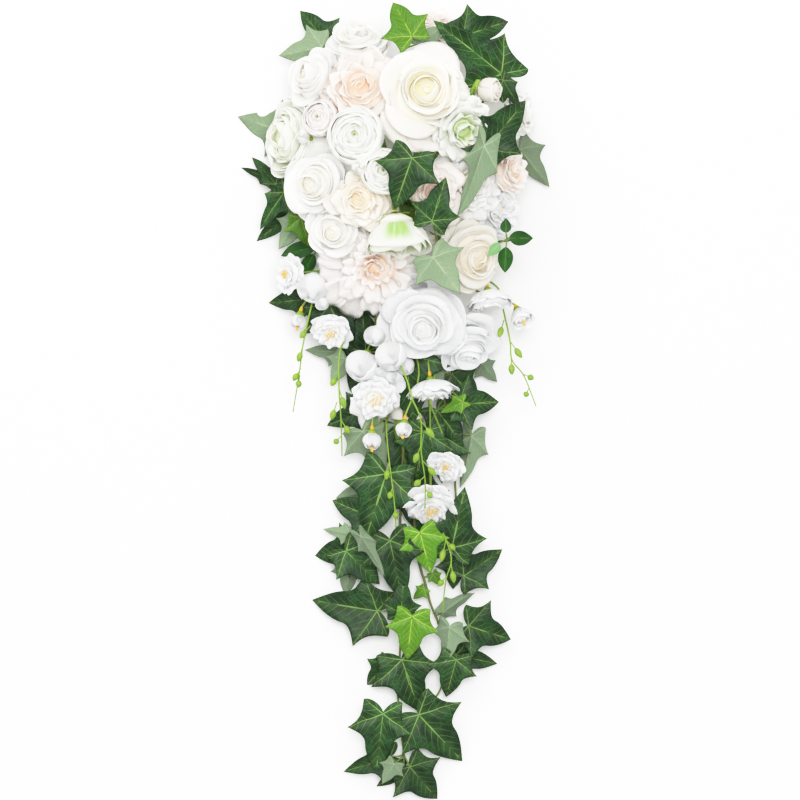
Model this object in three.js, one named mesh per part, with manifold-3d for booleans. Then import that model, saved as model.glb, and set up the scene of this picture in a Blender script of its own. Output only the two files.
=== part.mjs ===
// A cascading bridal bouquet, lying on its back: fabric roses, ranunculus, a dahlia, double cherry
// blossoms and buds over trailing ivy, all bound by their stems into a ribbon-wrapped handle.
// Millimetres, +Z up out of the flowers' faces, +Y towards the top of the bouquet, +X to its right.
import * as THREE from "three";
import { mergeVertices } from "three/addons/utils/BufferGeometryUtils.js";
import Module from "manifold-3d";

const wasm = await Module();
wasm.setup();

// Driving dimensions.
const CLEAR = 0.3; // what touching pieces keep between them
const PETAL = 0.7; // thickness of a fabric petal
const LEAF = 0.8; // thickness of a leaf
const STEM_R = 2; // radius of a flower's stem
const VINE_R = 1.3; // radius of an ivy stem
const TWIG_R = 1; // radius of a petiole or of a spray's thin stem
const STALK_HALF = 0.9; // half the width of a leaf's stalk
const BUD_R = 2.9; // radius of a green bud
const ROUND_FROM = 28; // blooms of a smaller radius have flatter petals
const SMOOTH = 0.03; // the least step that is kept in a surface
const HUB_R = 17; // radius of the knot where the stems meet
const HANDLE_R = 12; // radius of the bound stems in the handle
const RIBBON = 1.6; // thickness of the ribbon wound round the handle
const RIBBON_TURN = 26; // how far each turn of ribbon moves along the handle

// The front view is laid out in square cells, counted from the left and from the top. The eye is far
// above, so what stands higher is drawn in towards the view's middle.
const CELL = 0.9; // side of a cell
const VIEW_MIDDLE = { column: 400, row: 400 };
const SIDE_SHIFT = 5.4; // the view's middle column lies this far right of the origin
const UP_SHIFT = 4.8; // and its middle row this far above it
const EYE_HEIGHT = 2700;

function at([column, row], height) {
  const reach = CELL * (1 - height / EYE_HEIGHT);
  return new THREE.Vector3(
    SIDE_SHIFT + (column - VIEW_MIDDLE.column) * reach,
    UP_SHIFT + (VIEW_MIDDLE.row - row) * reach,
    height,
  );
}

const BINDING = at([404, 222], 36); // where every stem meets
const HANDLE_END = at([408, 440], 13); // the middle of the cut stem ends

// Finishes.
function finish(hex, roughness) {
  return new THREE.MeshStandardMaterial({ color: hex, roughness, metalness: 0 });
}
const FINISH = {
  cream: finish(0xf6f0dc, 0.75),
  white: finish(0xf7f6f2, 0.75),
  blush: finish(0xf8e6da, 0.75),
  champagne: finish(0xf8e3c4, 0.75),
  ivory: finish(0xf2f4e2, 0.75),
  stem: finish(0x7fa03a, 0.6),
  ivy: finish(0x2f5a34, 0.5),
  ruscus: finish(0x2f6b2c, 0.45),
  bud: finish(0x9cc13c, 0.55),
  ribbon: finish(0xf4f0e6, 0.35),
};

// Small helpers.
// A repeatable scatter from 0 to 1 for the k-th choice about the n-th thing.
function scatter(n, k) {
  const s = Math.sin(n * 12.9898 + k * 78.233) * 43758.5453;
  return s - Math.floor(s);
}

function bezier(a, b, c, t) {
  return (1 - t) * (1 - t) * a + 2 * t * (1 - t) * b + t * t * c;
}

// A closed geometry as a manifold solid, turned to face out.
function solid(geometry) {
  const loose = geometry.index ? geometry.toNonIndexed() : geometry;
  const bare = new THREE.BufferGeometry();
  bare.setAttribute("position", loose.getAttribute("position"));
  const merged = mergeVertices(bare, 1e-4);
  const vertProperties = merged.attributes.position.array;
  const triVerts = new Uint32Array(merged.index.array);
  const made = new wasm.Manifold(new wasm.Mesh({ numProp: 3, vertProperties, triVerts }));
  if (made.volume() > 0) return made;
  for (let i = 0; i < triVerts.length; i += 3) {
    [triVerts[i + 1], triVerts[i + 2]] = [triVerts[i + 2], triVerts[i + 1]];
  }
  return new wasm.Manifold(new wasm.Mesh({ numProp: 3, vertProperties, triVerts }));
}

function join(solids) {
  return solids.length === 1 ? solids[0] : wasm.Manifold.union(solids);
}

// The two faces of a thin solid about an open sheet of triangles, and the edges of its rim. grow
// makes it larger all round.
function twoFaces(points, faces, thickness, grow) {
  const facing = points.map(() => new THREE.Vector3());
  const edges = new Map();
  for (const face of faces) {
    const [a, b, c] = face.map((k) => points[k]);
    const normal = b.clone().sub(a).cross(c.clone().sub(a));
    face.forEach((k, i) => {
      facing[k].add(normal);
      edges.set(`${k},${face[(i + 1) % 3]}`, [k, face[(i + 1) % 3]]);
    });
  }
  facing.forEach((normal) => normal.normalize());
  const rim = [...edges.values()].filter(([a, b]) => !edges.has(`${b},${a}`));
  const spread = points.map(() => new THREE.Vector3());
  for (const [a, b] of rim) {
    const along = points[b].clone().sub(points[a]);
    const out = along.cross(facing[a].clone().add(facing[b])).normalize();
    spread[a].addScaledVector(out, 0.5);
    spread[b].addScaledVector(out, 0.5);
  }
  const side = (height) =>
    points.map((p, k) => {
      const reach = Math.max(spread[k].lengthSq(), 0.15);
      return p.clone().addScaledVector(facing[k], height).addScaledVector(spread[k], grow / reach);
    });
  return { top: side(thickness / 2 + grow), bottom: side(-thickness / 2 - grow), rim };
}

// A solid from loose triangles, each three points.
function closed(triangles) {
  const geometry = new THREE.BufferGeometry();
  const corners = triangles.flatMap((points) => points.flatMap((p) => [p.x, p.y, p.z]));
  geometry.setAttribute("position", new THREE.Float32BufferAttribute(corners, 3));
  return solid(geometry);
}

// A thin solid of even thickness about an open sheet of triangles.
function sheet(points, faces, thickness, grow = 0) {
  const { top, bottom, rim } = twoFaces(points, faces, thickness, grow);
  const triangles = [];
  for (const [a, b, c] of faces) {
    triangles.push([top[a], top[b], top[c]], [bottom[a], bottom[c], bottom[b]]);
  }
  for (const [a, b] of rim) triangles.push([top[b], top[a], bottom[a]], [top[b], bottom[a], bottom[b]]);
  return closed(triangles);
}

// A round stem with a ring at each point, of an even radius or of the radius given for each point.
function stem(points, radius, sides = 3, grow = 0) {
  const count = points.length;
  const corners = [];
  const add = (...these) => these.forEach((p) => corners.push(p.x, p.y, p.z));
  let side = new THREE.Vector3(0.3, 0.1, 1);
  const rings = points.map((p, j) => {
    const along = points[Math.min(j + 1, count - 1)].clone().sub(points[Math.max(j - 1, 0)]).normalize();
    side = side.clone().addScaledVector(along, -side.dot(along)).normalize();
    const other = along.clone().cross(side);
    const r = (Array.isArray(radius) ? radius[j] : radius) + grow;
    const end = j === 0 ? -grow : j === count - 1 ? grow : 0;
    return Array.from({ length: sides }, (_, i) => {
      const turn = (i / sides) * 2 * Math.PI;
      const q = p.clone().addScaledVector(along, end);
      return q.addScaledVector(side, r * Math.cos(turn)).addScaledVector(other, r * Math.sin(turn));
    });
  });
  for (let j = 0; j < count - 1; j++) {
    for (let i = 0; i < sides; i++) {
      const next = (i + 1) % sides;
      add(rings[j][i], rings[j][next], rings[j + 1][next]);
      add(rings[j][i], rings[j + 1][next], rings[j + 1][i]);
    }
  }
  for (let i = 1; i < sides - 1; i++) {
    add(rings[0][0], rings[0][i + 1], rings[0][i]);
    add(rings[count - 1][0], rings[count - 1][i], rings[count - 1][i + 1]);
  }
  const geometry = new THREE.BufferGeometry();
  geometry.setAttribute("position", new THREE.Float32BufferAttribute(corners, 3));
  return solid(geometry);
}

// The frame of a thing that stands at base and points along axis: local x, y and z in the world.
function frameOf(base, axis) {
  const z = axis.clone().normalize();
  const x = new THREE.Vector3(0, 1, 0).cross(z);
  if (x.length() < 0.1) x.set(1, 0, 0);
  x.normalize();
  const y = z.clone().cross(x);
  return new THREE.Matrix4().makeBasis(x, y, z).setPosition(base);
}

// A solid of revolution from [radius, height] pairs, standing in a frame.
function turned(profile, frame, sides) {
  const points = profile.map(([r, h]) => new THREE.Vector2(Math.max(r, 0), h));
  const geometry = new THREE.LatheGeometry(points, sides);
  geometry.rotateX(Math.PI / 2);
  geometry.applyMatrix4(frame);
  return solid(geometry);
}

// Room between the blooms.
// Each bloom keeps a ball of room to itself: what grows into another's ball is bent out of it.
const rooms = [];

function bendClear(point, owner) {
  for (let pass = 0; pass < 2; pass++) {
    for (const room of rooms) {
      if (room.owner === owner) continue;
      const away = point.clone().sub(room.middle);
      if (away.length() < room.radius) point.copy(room.middle).add(away.setLength(room.radius));
    }
  }
  return point;
}

// Petals and blooms.
// A petal runs from its root over a belly to its rim. Each is [distance from the axis, height] as
// shares of the bloom's radius. The notch is where along it a petal parts from the next, fill is how
// much of its turn it takes up, tip how far its corners stand back and cup how far its sides lift.
// Rings are listed from the outside in. The outside holds every petal of the bloom.
const BLOOM_KINDS = {
  rose: {
    foot: -0.12,
    middle: [0.22, 0.72],
    peak: 0.84,
    outside: [[0.62, -0.12], [1.14, 0.26], [1.1, 0.5], [0.5, 0.94]],
    room: 0.8,
    rings: [
      { count: 5, root: [0.1, 0.0], belly: [0.66, -0.06], rim: [1.0, 0.34], rows: 2 },
      { count: 5, root: [0.1, 0.06], belly: [0.62, 0.14], rim: [0.72, 0.62], notch: 0.4 },
      { count: 3, root: [0.1, 0.2], belly: [0.5, 0.3], rim: [0.42, 0.82], notch: 0.45 },
    ],
  },
  smallRose: {
    foot: -0.12,
    middle: [0.26, 0.78],
    peak: 0.9,
    outside: [[0.62, -0.12], [1.14, 0.36], [1.1, 0.6], [0.6, 0.98]],
    room: 0.8,
    rings: [
      { count: 5, root: [0.1, 0.0], belly: [0.7, -0.02], rim: [1.0, 0.46], rows: 2 },
      { count: 4, root: [0.1, 0.1], belly: [0.62, 0.2], rim: [0.58, 0.84], notch: 0.45 },
    ],
  },
  ranunculus: {
    foot: -0.14,
    middle: [0.4, 0.9],
    peak: 0.92,
    outside: [[0.7, -0.12], [1.14, 0.3], [1.08, 0.74], [0.7, 1.04]],
    room: 0.88,
    rings: [
      { count: 5, root: [0.2, 0.0], belly: [1.2, 0.0], rim: [0.9, 0.74], notch: 0.55, rows: 2, cup: 0.03 },
      { count: 5, root: [0.3, 0.3], belly: [0.98, 0.42], rim: [0.58, 0.98], notch: 0.6, cup: 0.02 },
    ],
  },
  dahlia: {
    foot: -0.1,
    middle: [0.12, 0.52],
    peak: 0.58,
    outside: [[0.5, -0.1], [1.14, 0.0], [1.12, 0.16], [0.6, 0.66]],
    room: 0.62,
    rings: [
      {
        count: 9, root: [0.06, 0.0], belly: [0.55, 0.06], rim: [1.0, 0.06],
        notch: 0.22, tip: 0.26, cup: 0.05,
      },
      {
        count: 7, root: [0.08, 0.08], belly: [0.5, 0.2], rim: [0.8, 0.34],
        notch: 0.25, tip: 0.26, fill: 0.8, cup: 0.05,
      },
      {
        count: 5, root: [0.08, 0.16], belly: [0.3, 0.4], rim: [0.48, 0.58],
        notch: 0.3, tip: 0.26, fill: 0.8, cup: 0.05,
      },
    ],
  },
  ruffled: {
    foot: -0.1,
    middle: [0.12, 0.56],
    peak: 0.64,
    outside: [[0.6, -0.12], [1.14, 0.16], [1.12, 0.46], [0.6, 0.86]],
    room: 0.78,
    rings: [
      { count: 5, root: [0.1, 0.0], belly: [0.6, 0.02], rim: [1.0, 0.28], rows: 2, tip: 0.06, cup: 0.14 },
      { count: 4, root: [0.1, 0.08], belly: [0.5, 0.16], rim: [0.68, 0.56], tip: 0.06, cup: 0.14 },
    ],
  },
  cup: {
    foot: -0.12,
    middle: [0.2, 0.4],
    peak: 0.5,
    outside: [[0.7, -0.1], [1.14, 0.4], [1.1, 0.95], [0.8, 1.28]],
    room: 0.85,
    rings: [
      {
        count: 3, root: [0.14, 0.0], belly: [1.25, 0.25], rim: [0.5, 1.18],
        rows: 2, tip: 0.2, cup: 0.02, notch: 0.3,
      },
      {
        count: 3, root: [0.12, 0.06], belly: [1.0, 0.3], rim: [0.3, 1.1],
        rows: 2, tip: 0.2, cup: 0.02, notch: 0.3,
      },
    ],
  },
  rosebud: {
    foot: -0.15,
    middle: [0.4, 1.5],
    peak: 1.8,
    outside: [[0.6, -0.2], [1.2, 0.6], [1.2, 1.4], [0.8, 2.0]],
    room: 0.8,
    rings: [
      { count: 4, root: [0.3, 0.1], belly: [1.12, 0.5], rim: [0.7, 1.75], rows: 2, notch: 0.5, cup: 0.02 },
    ],
  },
  blossom: {
    foot: -0.1,
    middle: [0.08, 0.26],
    peak: 0.3,
    room: 0,
    rings: [
      { count: 5, root: [0.06, 0.0], belly: [0.5, 0.02], rim: [1.0, 0.26], tip: 0.08, cup: 0.12 },
      { count: 3, root: [0.06, 0.06], belly: [0.4, 0.24], rim: [0.66, 0.5], tip: 0.08, cup: 0.1 },
    ],
  },
  nodding: {
    foot: -0.1,
    middle: [0.08, 0.3],
    peak: 0.36,
    room: 0,
    rings: [
      { count: 5, root: [0.06, 0.0], belly: [0.66, 0.04], rim: [1.0, 0.66], tip: 0.08, cup: 0.08 },
      { count: 3, root: [0.06, 0.06], belly: [0.36, 0.3], rim: [0.56, 0.76], tip: 0.08, cup: 0.08 },
    ],
  },
  bell: {
    foot: -0.15,
    middle: [0.2, 0.5],
    peak: 0.6,
    room: 0,
    rings: [
      { count: 4, root: [0.3, 0.1], belly: [0.9, 0.3], rim: [0.8, 1.2], tip: 0.1, cup: 0.04 },
    ],
  },
};

// A ring of petals: each stands free above the notch between it and the next. Where a petal would
// reach into another bloom's room it curls up shorter.
function corolla(ring, ringIndex, bloom) {
  const { radius, seed, frame } = bloom;
  const { count, root, belly, rim, notch = 0.35, fill = 0.94, tip = 0.14, cup = 0.1 } = ring;
  const rows = radius < ROUND_FROM ? 1 : ring.rows ?? 1;
  const pitch = (2 * Math.PI) / count;
  const points = [];
  const place = (angle, t, stretch, lift) => {
    let p;
    for (let reach = stretch; reach > 0.6; reach -= 0.08) {
      const r = radius * bezier(root[0], belly[0], rim[0] * reach, t);
      const h = radius * (bezier(root[1], belly[1], rim[1] * reach, t) + lift);
      p = new THREE.Vector3(r * Math.cos(angle), r * Math.sin(angle), h).applyMatrix4(frame);
      const inside = (room) => room.owner !== bloom.name && p.distanceTo(room.middle) < room.radius;
      if (!rooms.some(inside)) break;
    }
    points.push(p);
    return points.length - 1;
  };
  const start = bloom.spin + ringIndex * 0.5 * pitch;
  for (let i = 0; i < count; i++) place(start + (i - 0.5) * pitch, notch, 1, 0);
  const faces = [];
  for (let i = 0; i < count; i++) {
    const left = i;
    const right = (i + 1) % count;
    const stretch = 0.93 + 0.14 * scatter(seed + i, 7 + ringIndex);
    const lean = 0.12 * (scatter(seed + i, 3 + ringIndex) - 0.5);
    let below = null;
    for (let j = 1; j <= rows; j++) {
      const last = j === rows;
      const t = last ? 1 : notch + (1 - notch) * 0.55;
      const half = 0.5 * fill * pitch * (last ? 1 - 2.2 * tip : 1);
      const drop = last ? tip : 0;
      const row = [-1, 0, 1].map((u) =>
        place(start + (i + lean) * pitch + u * half, t - drop * u * u, stretch, cup * (u * u - 0.3) * t),
      );
      if (below) {
        faces.push([below[0], row[0], row[1]], [below[0], row[1], below[1]]);
        faces.push([below[1], row[1], row[2]], [below[1], row[2], below[2]]);
      } else {
        faces.push([left, row[0], row[1]], [right, left, row[1]], [right, row[1], row[2]]);
      }
      below = row;
    }
  }
  return { points, faces, count };
}

// The triangles between two loops of points round the same axis, walked side by side.
function between(lower, upper) {
  const triangles = [];
  let i = 0;
  let j = 0;
  while (i < lower.length || j < upper.length) {
    const a = lower[i % lower.length];
    const b = upper[j % upper.length];
    const lowerFirst = (i + 0.5) / lower.length <= (j + 0.5) / upper.length;
    if (j >= upper.length || (i < lower.length && lowerFirst)) {
      triangles.push([a, lower[(i + 1) % lower.length], b]);
      i += 1;
    } else {
      triangles.push([a, upper[(j + 1) % upper.length], b]);
      j += 1;
    }
  }
  return triangles;
}

// A bloom at its place, one skin: up over each ring of petals from the outside in, then over the
// closed middle. grow makes it larger all round.
function bloomSolid(bloom, grow = 0) {
  const kind = BLOOM_KINDS[bloom.kind];
  const { radius, frame } = bloom;
  const onAxis = (h) => new THREE.Vector3(0, 0, h).applyMatrix4(frame);
  const triangles = [];
  let loop = null;
  let turn = 0;
  kind.rings.slice(0, radius < ROUND_FROM ? 2 : 3).forEach((ring, ringIndex) => {
    const { points, faces, count } = corolla(ring, ringIndex, bloom);
    const { top, bottom, rim } = twoFaces(points, faces, PETAL, grow);
    for (const [a, b, c] of faces) {
      triangles.push([top[a], top[b], top[c]], [bottom[a], bottom[c], bottom[b]]);
    }
    for (const [a, b] of rim) {
      if (a < count && b < count) continue;
      triangles.push([top[b], top[a], bottom[a]], [top[b], bottom[a], bottom[b]]);
    }
    const under = bottom.slice(0, count);
    if (!loop) {
      const foot = onAxis(kind.foot * radius - grow);
      under.forEach((p, i) => triangles.push([foot, under[(i + 1) % count], p]));
    } else {
      triangles.push(...between(loop, under));
    }
    loop = top.slice(0, count);
    turn = bloom.spin + (ringIndex * 0.5 - 0.5) * ((2 * Math.PI) / count);
  });
  const [r, h] = kind.middle;
  const crown = loop.map((_, i) => {
    const angle = turn + (i / loop.length) * 2 * Math.PI;
    const reach = r * radius + grow;
    const p = new THREE.Vector3(reach * Math.cos(angle), reach * Math.sin(angle), h * radius + grow);
    return p.applyMatrix4(frame);
  });
  triangles.push(...between(loop, crown));
  const peak = onAxis(kind.peak * radius + grow);
  crown.forEach((p, i) => triangles.push([p, crown[(i + 1) % crown.length], peak]));
  return closed(triangles);
}

// The room inside a bloom's outermost petals, which nothing else enters.
function bloomRoom(bloom) {
  const { outside } = BLOOM_KINDS[bloom.kind];
  const profile = outside.map(([r, h]) => [r * bloom.radius, h * bloom.radius]);
  return turned([[0, profile[0][1]], ...profile, [0, profile[profile.length - 1][1]]], bloom.frame, 7);
}

// A closed bud: a ball whose petals wrap over one another in three raised turns.
function budSolid({ frame, radius, spin = 0 }, grow = 0) {
  const around = 6;
  const up = radius > 12 ? 4 : 3;
  const points = [];
  const push = (r, turn, h) => {
    points.push(new THREE.Vector3(r * Math.cos(turn), r * Math.sin(turn), h).applyMatrix4(frame));
  };
  const R = radius + grow;
  push(0, 0, -0.86 * R);
  for (let j = 1; j <= up; j++) {
    const lift = (j / (up + 1)) * Math.PI;
    for (let i = 0; i < around; i++) {
      const wrap = ((i * 3) / around + (j / up) * 0.8) % 1;
      const r = R * Math.sin(lift) * (0.94 + 0.1 * wrap);
      push(r, spin + (i / around) * 2 * Math.PI, -0.86 * R * Math.cos(lift));
    }
  }
  push(0, 0, 0.86 * R);
  const last = points.length - 1;
  const index = (j, i) => 1 + (j - 1) * around + ((i + around) % around);
  const corners = [];
  const add = (...ids) => ids.forEach((k) => corners.push(points[k].x, points[k].y, points[k].z));
  for (let i = 0; i < around; i++) {
    add(0, index(1, i + 1), index(1, i));
    add(last, index(up, i), index(up, i + 1));
    for (let j = 1; j < up; j++) {
      add(index(j, i), index(j, i + 1), index(j + 1, i + 1));
      add(index(j, i), index(j + 1, i + 1), index(j + 1, i));
    }
  }
  const geometry = new THREE.BufferGeometry();
  geometry.setAttribute("position", new THREE.Float32BufferAttribute(corners, 3));
  return solid(geometry);
}

// Leaves.
// Half outlines of a leaf one unit long, from its root to its tip, as [across, along].
const LEAF_SHAPES = {
  ivy: [[0.37, -0.21], [0.36, 0.03], [0.6, 0.27], [0.31, 0.34], [0.24, 0.62]],
  smallIvy: [[0.37, -0.21], [0.36, 0.03], [0.6, 0.27], [0.3, 0.4]],
  blade: [[0.14, 0.2], [0.18, 0.55]],
};

// A leaf from the place where its stalk meets it to its tip, with its stalk down to the stem. roll
// turns it about its midrib, droop bends its tip down, fold lifts its two halves and wide stretches
// it sideways. flip turns the pale back up.
function leafSolid(leaf, stalkEnd, name, grow = 0) {
  const { roll = 0, droop = 0.08, fold = 0.07, wide = 1, flip = false } = leaf;
  const root = at(leaf.from, leaf.z[0]);
  const tip = at(leaf.to, leaf.z[1]);
  const along = tip.clone().sub(root);
  const size = along.length();
  const shape = leaf.shape ?? (size < 52 ? "smallIvy" : "ivy");
  along.normalize();
  const up = new THREE.Vector3(0, 0, 1).applyAxisAngle(along, THREE.MathUtils.degToRad(roll));
  const across = along.clone().cross(up).normalize();
  up.copy(across).cross(along);
  const half = LEAF_SHAPES[shape];
  const outline = [...half, [0, 1], ...half.map(([x, y]) => [-x, y]).reverse()];
  const middle = shape === "blade" ? [0, 0.4] : [0, 0.1];
  const lift = flip ? -1 : 1;
  const points = [middle, ...outline].map(([x, y]) => {
    const h = lift * (fold * Math.abs(x) - droop * (y * y - y) - 0.5 * droop * x * x - droop * 0.2);
    const p = root.clone().addScaledVector(along, y * size).addScaledVector(across, x * wide * size);
    return bendClear(p.addScaledVector(up, h * size), name);
  });
  const back = stalkEnd.clone().sub(root);
  if (back.length() < 2.5) back.copy(along).multiplyScalar(-2.5);
  const foot = root.clone().add(back);
  const beside = back.clone().cross(up).setLength(STALK_HALF);
  if (beside.dot(across) < 0) beside.negate();
  const last = points.length;
  points.push(root.clone().add(beside), foot.clone().add(beside));
  points.push(foot.clone().sub(beside), root.clone().sub(beside));
  const faces = [];
  for (let i = 1; i < last - 1; i++) faces.push([0, i, i + 1]);
  faces.push([0, last - 1, last + 3], [0, last + 3, last], [0, last, 1]);
  faces.push([last, last + 3, last + 2], [last, last + 2, last + 1]);
  return sheet(points, faces, LEAF, grow);
}

// A small green bud like an almond on its stalk.
function almond(from, to, radius, grow = 0) {
  const axis = to.clone().sub(from);
  const length = axis.length();
  const stalk = 0.65 + grow;
  const profile = [[0, 0], [stalk, length * 0.45], [radius + grow, length * 0.72], [0, length + grow]];
  return turned(profile, frameOf(from, axis), 4);
}

// What stands where.
// Each bloom: its kind, finish, place in the front view and height of its middle, the way it faces
// and its radius.
const BLOOMS = [
  {
    name: "lisianthus_green", kind: "ruffled", finish: "ivory",
    cell: [465, 130], z: 105, face: [0.4, -0.3, 0.87], radius: 28, spin: 0.6,
  },
  {
    name: "rose_cream_large", kind: "rose", finish: "cream",
    cell: [427, 92], z: 108, face: [0.05, 0.12, 1], radius: 41, spin: 0.3,
  },
  {
    name: "ranunculus_green_eye", kind: "ranunculus", finish: "white",
    cell: [384, 171], z: 120, face: [-0.08, 0, 1], radius: 20, spin: 1.1,
  },
  {
    name: "ranunculus_white", kind: "ranunculus", finish: "white",
    cell: [356, 136], z: 116, face: [-0.12, 0.05, 1], radius: 25, spin: 0.4,
  },
  {
    name: "rose_blush_top", kind: "rose", finish: "blush",
    cell: [361, 88], z: 93, face: [-0.15, 0.25, 1], radius: 36, spin: 0.9,
  },
  {
    name: "rose_champagne", kind: "smallRose", finish: "champagne",
    cell: [360, 200], z: 108, face: [-0.1, -0.1, 1], radius: 25, spin: 0.2,
  },
  {
    name: "rose_white_left", kind: "rose", finish: "white",
    cell: [317, 183], z: 88, face: [-0.42, -0.05, 0.9], radius: 34, spin: 1.9,
  },
  {
    name: "tulip_green_streak", kind: "cup", finish: "ivory",
    cell: [397, 233], z: 108, face: [0.08, -0.97, 0.2], radius: 28, spin: 0.52,
  },
  {
    name: "dahlia_blush", kind: "dahlia", finish: "blush",
    cell: [377, 270], z: 90, face: [-0.03, -0.3, 0.95], radius: 48, spin: 0.1,
  },
  {
    name: "rose_blush_centre", kind: "smallRose", finish: "blush",
    cell: [434, 192], z: 104, face: [0.1, 0, 1], radius: 25, spin: 0.7,
  },
  {
    name: "rose_white_right", kind: "ruffled", finish: "white",
    cell: [470, 184], z: 86, face: [0.4, 0, 0.9], radius: 27, spin: 1.3,
  },
  {
    name: "ranunculus_blush", kind: "ranunculus", finish: "blush",
    cell: [321, 119], z: 90, face: [-0.4, 0.15, 0.9], radius: 16, spin: 0.8,
  },
  {
    name: "rose_white_lower_left", kind: "smallRose", finish: "white",
    cell: [335, 230], z: 88, face: [-0.3, -0.2, 0.95], radius: 25, spin: 2.6,
  },
  {
    name: "rose_cream_right", kind: "smallRose", finish: "cream",
    cell: [475, 256], z: 76, face: [0.45, -0.3, 0.85], radius: 29, spin: 0.5,
  },
  {
    name: "rose_white_large", kind: "rose", finish: "white",
    cell: [424, 322], z: 76, face: [-0.12, -0.5, 0.85], radius: 38, spin: 1.5,
  },
  {
    name: "ruffled_white_right", kind: "ruffled", finish: "white",
    cell: [500, 209], z: 62, face: [0.65, -0.15, 0.75], radius: 27, spin: 0.3,
  },
  {
    name: "rose_white_upper_left", kind: "smallRose", finish: "white",
    cell: [314, 78], z: 62, face: [-0.7, 0.35, 0.75], radius: 29, spin: 0.2,
  },
  {
    name: "rose_white_top", kind: "rose", finish: "white",
    cell: [359, 40], z: 60, face: [-0.15, 0.85, 0.65], radius: 30, spin: 0.4,
  },
  {
    name: "peony_ivory_left", kind: "ruffled", finish: "ivory",
    cell: [291, 138], z: 46, face: [-0.85, 0.05, 0.55], radius: 35, spin: 0.9,
  },
  {
    name: "rose_blush_right", kind: "smallRose", finish: "blush",
    cell: [511, 171], z: 60, face: [0.75, 0.15, 0.65], radius: 22, spin: 0.6,
  },
  {
    name: "rosebud_right", kind: "rosebud", finish: "cream",
    cell: [484, 90], z: 78, face: [0.85, -0.1, 0.4], radius: 11, spin: 0.2,
  },
  {
    name: "rose_blush_back", kind: "smallRose", finish: "blush",
    cell: [436, 24], z: 40, face: [0.1, 0.95, 0.35], radius: 23, spin: 0.1,
  },
  {
    name: "rose_white_far_right", kind: "smallRose", finish: "white",
    cell: [521, 112], z: 36, face: [0.9, 0.1, 0.35], radius: 22, spin: 0.9,
  },
  {
    name: "rose_white_lower_right", kind: "smallRose", finish: "white",
    cell: [466, 348], z: 48, face: [0.25, -0.75, 0.6], radius: 28, spin: 1.2,
  },
];

// Single closed buds on their own stems.
const LONE_BUDS = [
  { name: "bud_white_left", cell: [303, 136], z: 82, face: [-0.6, 0, 0.8], radius: 6.5 },
  { name: "bud_white_centre", cell: [360, 167], z: 122, face: [-0.1, -0.1, 1], radius: 7 },
];

// Sprays and clusters: white heads on thin green stems that leave the end of one trunk.
const SPRAYS = [
  {
    name: "blossom_spray_left", trunk: [[[330, 270], 50]],
    heads: [
      { kind: "blossom", cell: [287, 274], z: 50, face: [-0.7, -0.1, 0.7], radius: 15 },
      { kind: "blossom", cell: [331, 332], z: 48, face: [-0.1, -0.5, 0.85], radius: 20 },
      { kind: "bell", cell: [299, 319], z: 42, face: [-0.2, -0.95, 0.3], radius: 8 },
    ],
  },
  {
    name: "bud_cluster_left", trunk: [[[322, 256], 46]],
    heads: [
      { kind: "ball", cell: [313, 288], z: 53, face: [-0.3, -0.7, 0.6], radius: 14.5 },
      { kind: "ball", cell: [322, 304], z: 58, face: [0.3, -0.9, 0.4], radius: 6 },
    ],
  },
  {
    name: "bud_cluster_centre", trunk: [[[392, 264], 52], [[386, 322], 46]],
    heads: [
      { kind: "ball", cell: [375, 336], z: 54, face: [-0.2, -0.8, 0.6], radius: 10 },
      { kind: "ball", cell: [362, 366], z: 52, face: [-0.3, -0.8, 0.6], radius: 15 },
      { kind: "ball", cell: [391, 356], z: 66, face: [0.2, -0.7, 0.7], radius: 14 },
      { kind: "ball", cell: [404, 366], z: 48, face: [0.3, -0.8, 0.5], radius: 9.5 },
      { kind: "ball", cell: [393, 377], z: 56.5, face: [0, -0.95, 0.3], radius: 6.4 },
    ],
  },
  {
    name: "blossom_spray_centre", trunk: [[[408, 264], 53], [[408, 330], 45]],
    heads: [
      {
        kind: "blossom", cell: [376, 398], z: 50, face: [-0.1, -0.35, 0.95],
        radius: 26, via: [[381, 352], 32],
      },
      {
        kind: "nodding", cell: [431, 388], z: 47, face: [0.1, -0.92, 0.38],
        radius: 21, via: [[428, 352], 36],
      },
      { kind: "bell", cell: [404, 427], z: 52, face: [-0.1, -0.9, 0.4], radius: 8, via: [[419, 374], 46] },
      { kind: "bell", cell: [372, 438], z: 48, face: [0, -0.9, 0.45], radius: 9, via: [[381, 352], 32] },
    ],
  },
  {
    name: "blossom_spray_right", trunk: [[[474, 290], 52]],
    heads: [
      { kind: "nodding", cell: [489, 298], z: 62, face: [0.15, -0.9, 0.42], radius: 20 },
      { kind: "bell", cell: [520, 315], z: 50, face: [0.35, -0.75, 0.6], radius: 10 },
    ],
  },
  {
    name: "blossom_spray_low", trunk: [[[434, 264], 38], [[438, 340], 34], [[430, 404], 42]],
    heads: [
      { kind: "blossom", cell: [446, 466], z: 42, face: [-0.3, -0.4, 0.85], radius: 15 },
      { kind: "blossom", cell: [431, 508], z: 36, face: [0, -0.75, 0.6], radius: 24 },
    ],
  },
];

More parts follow.
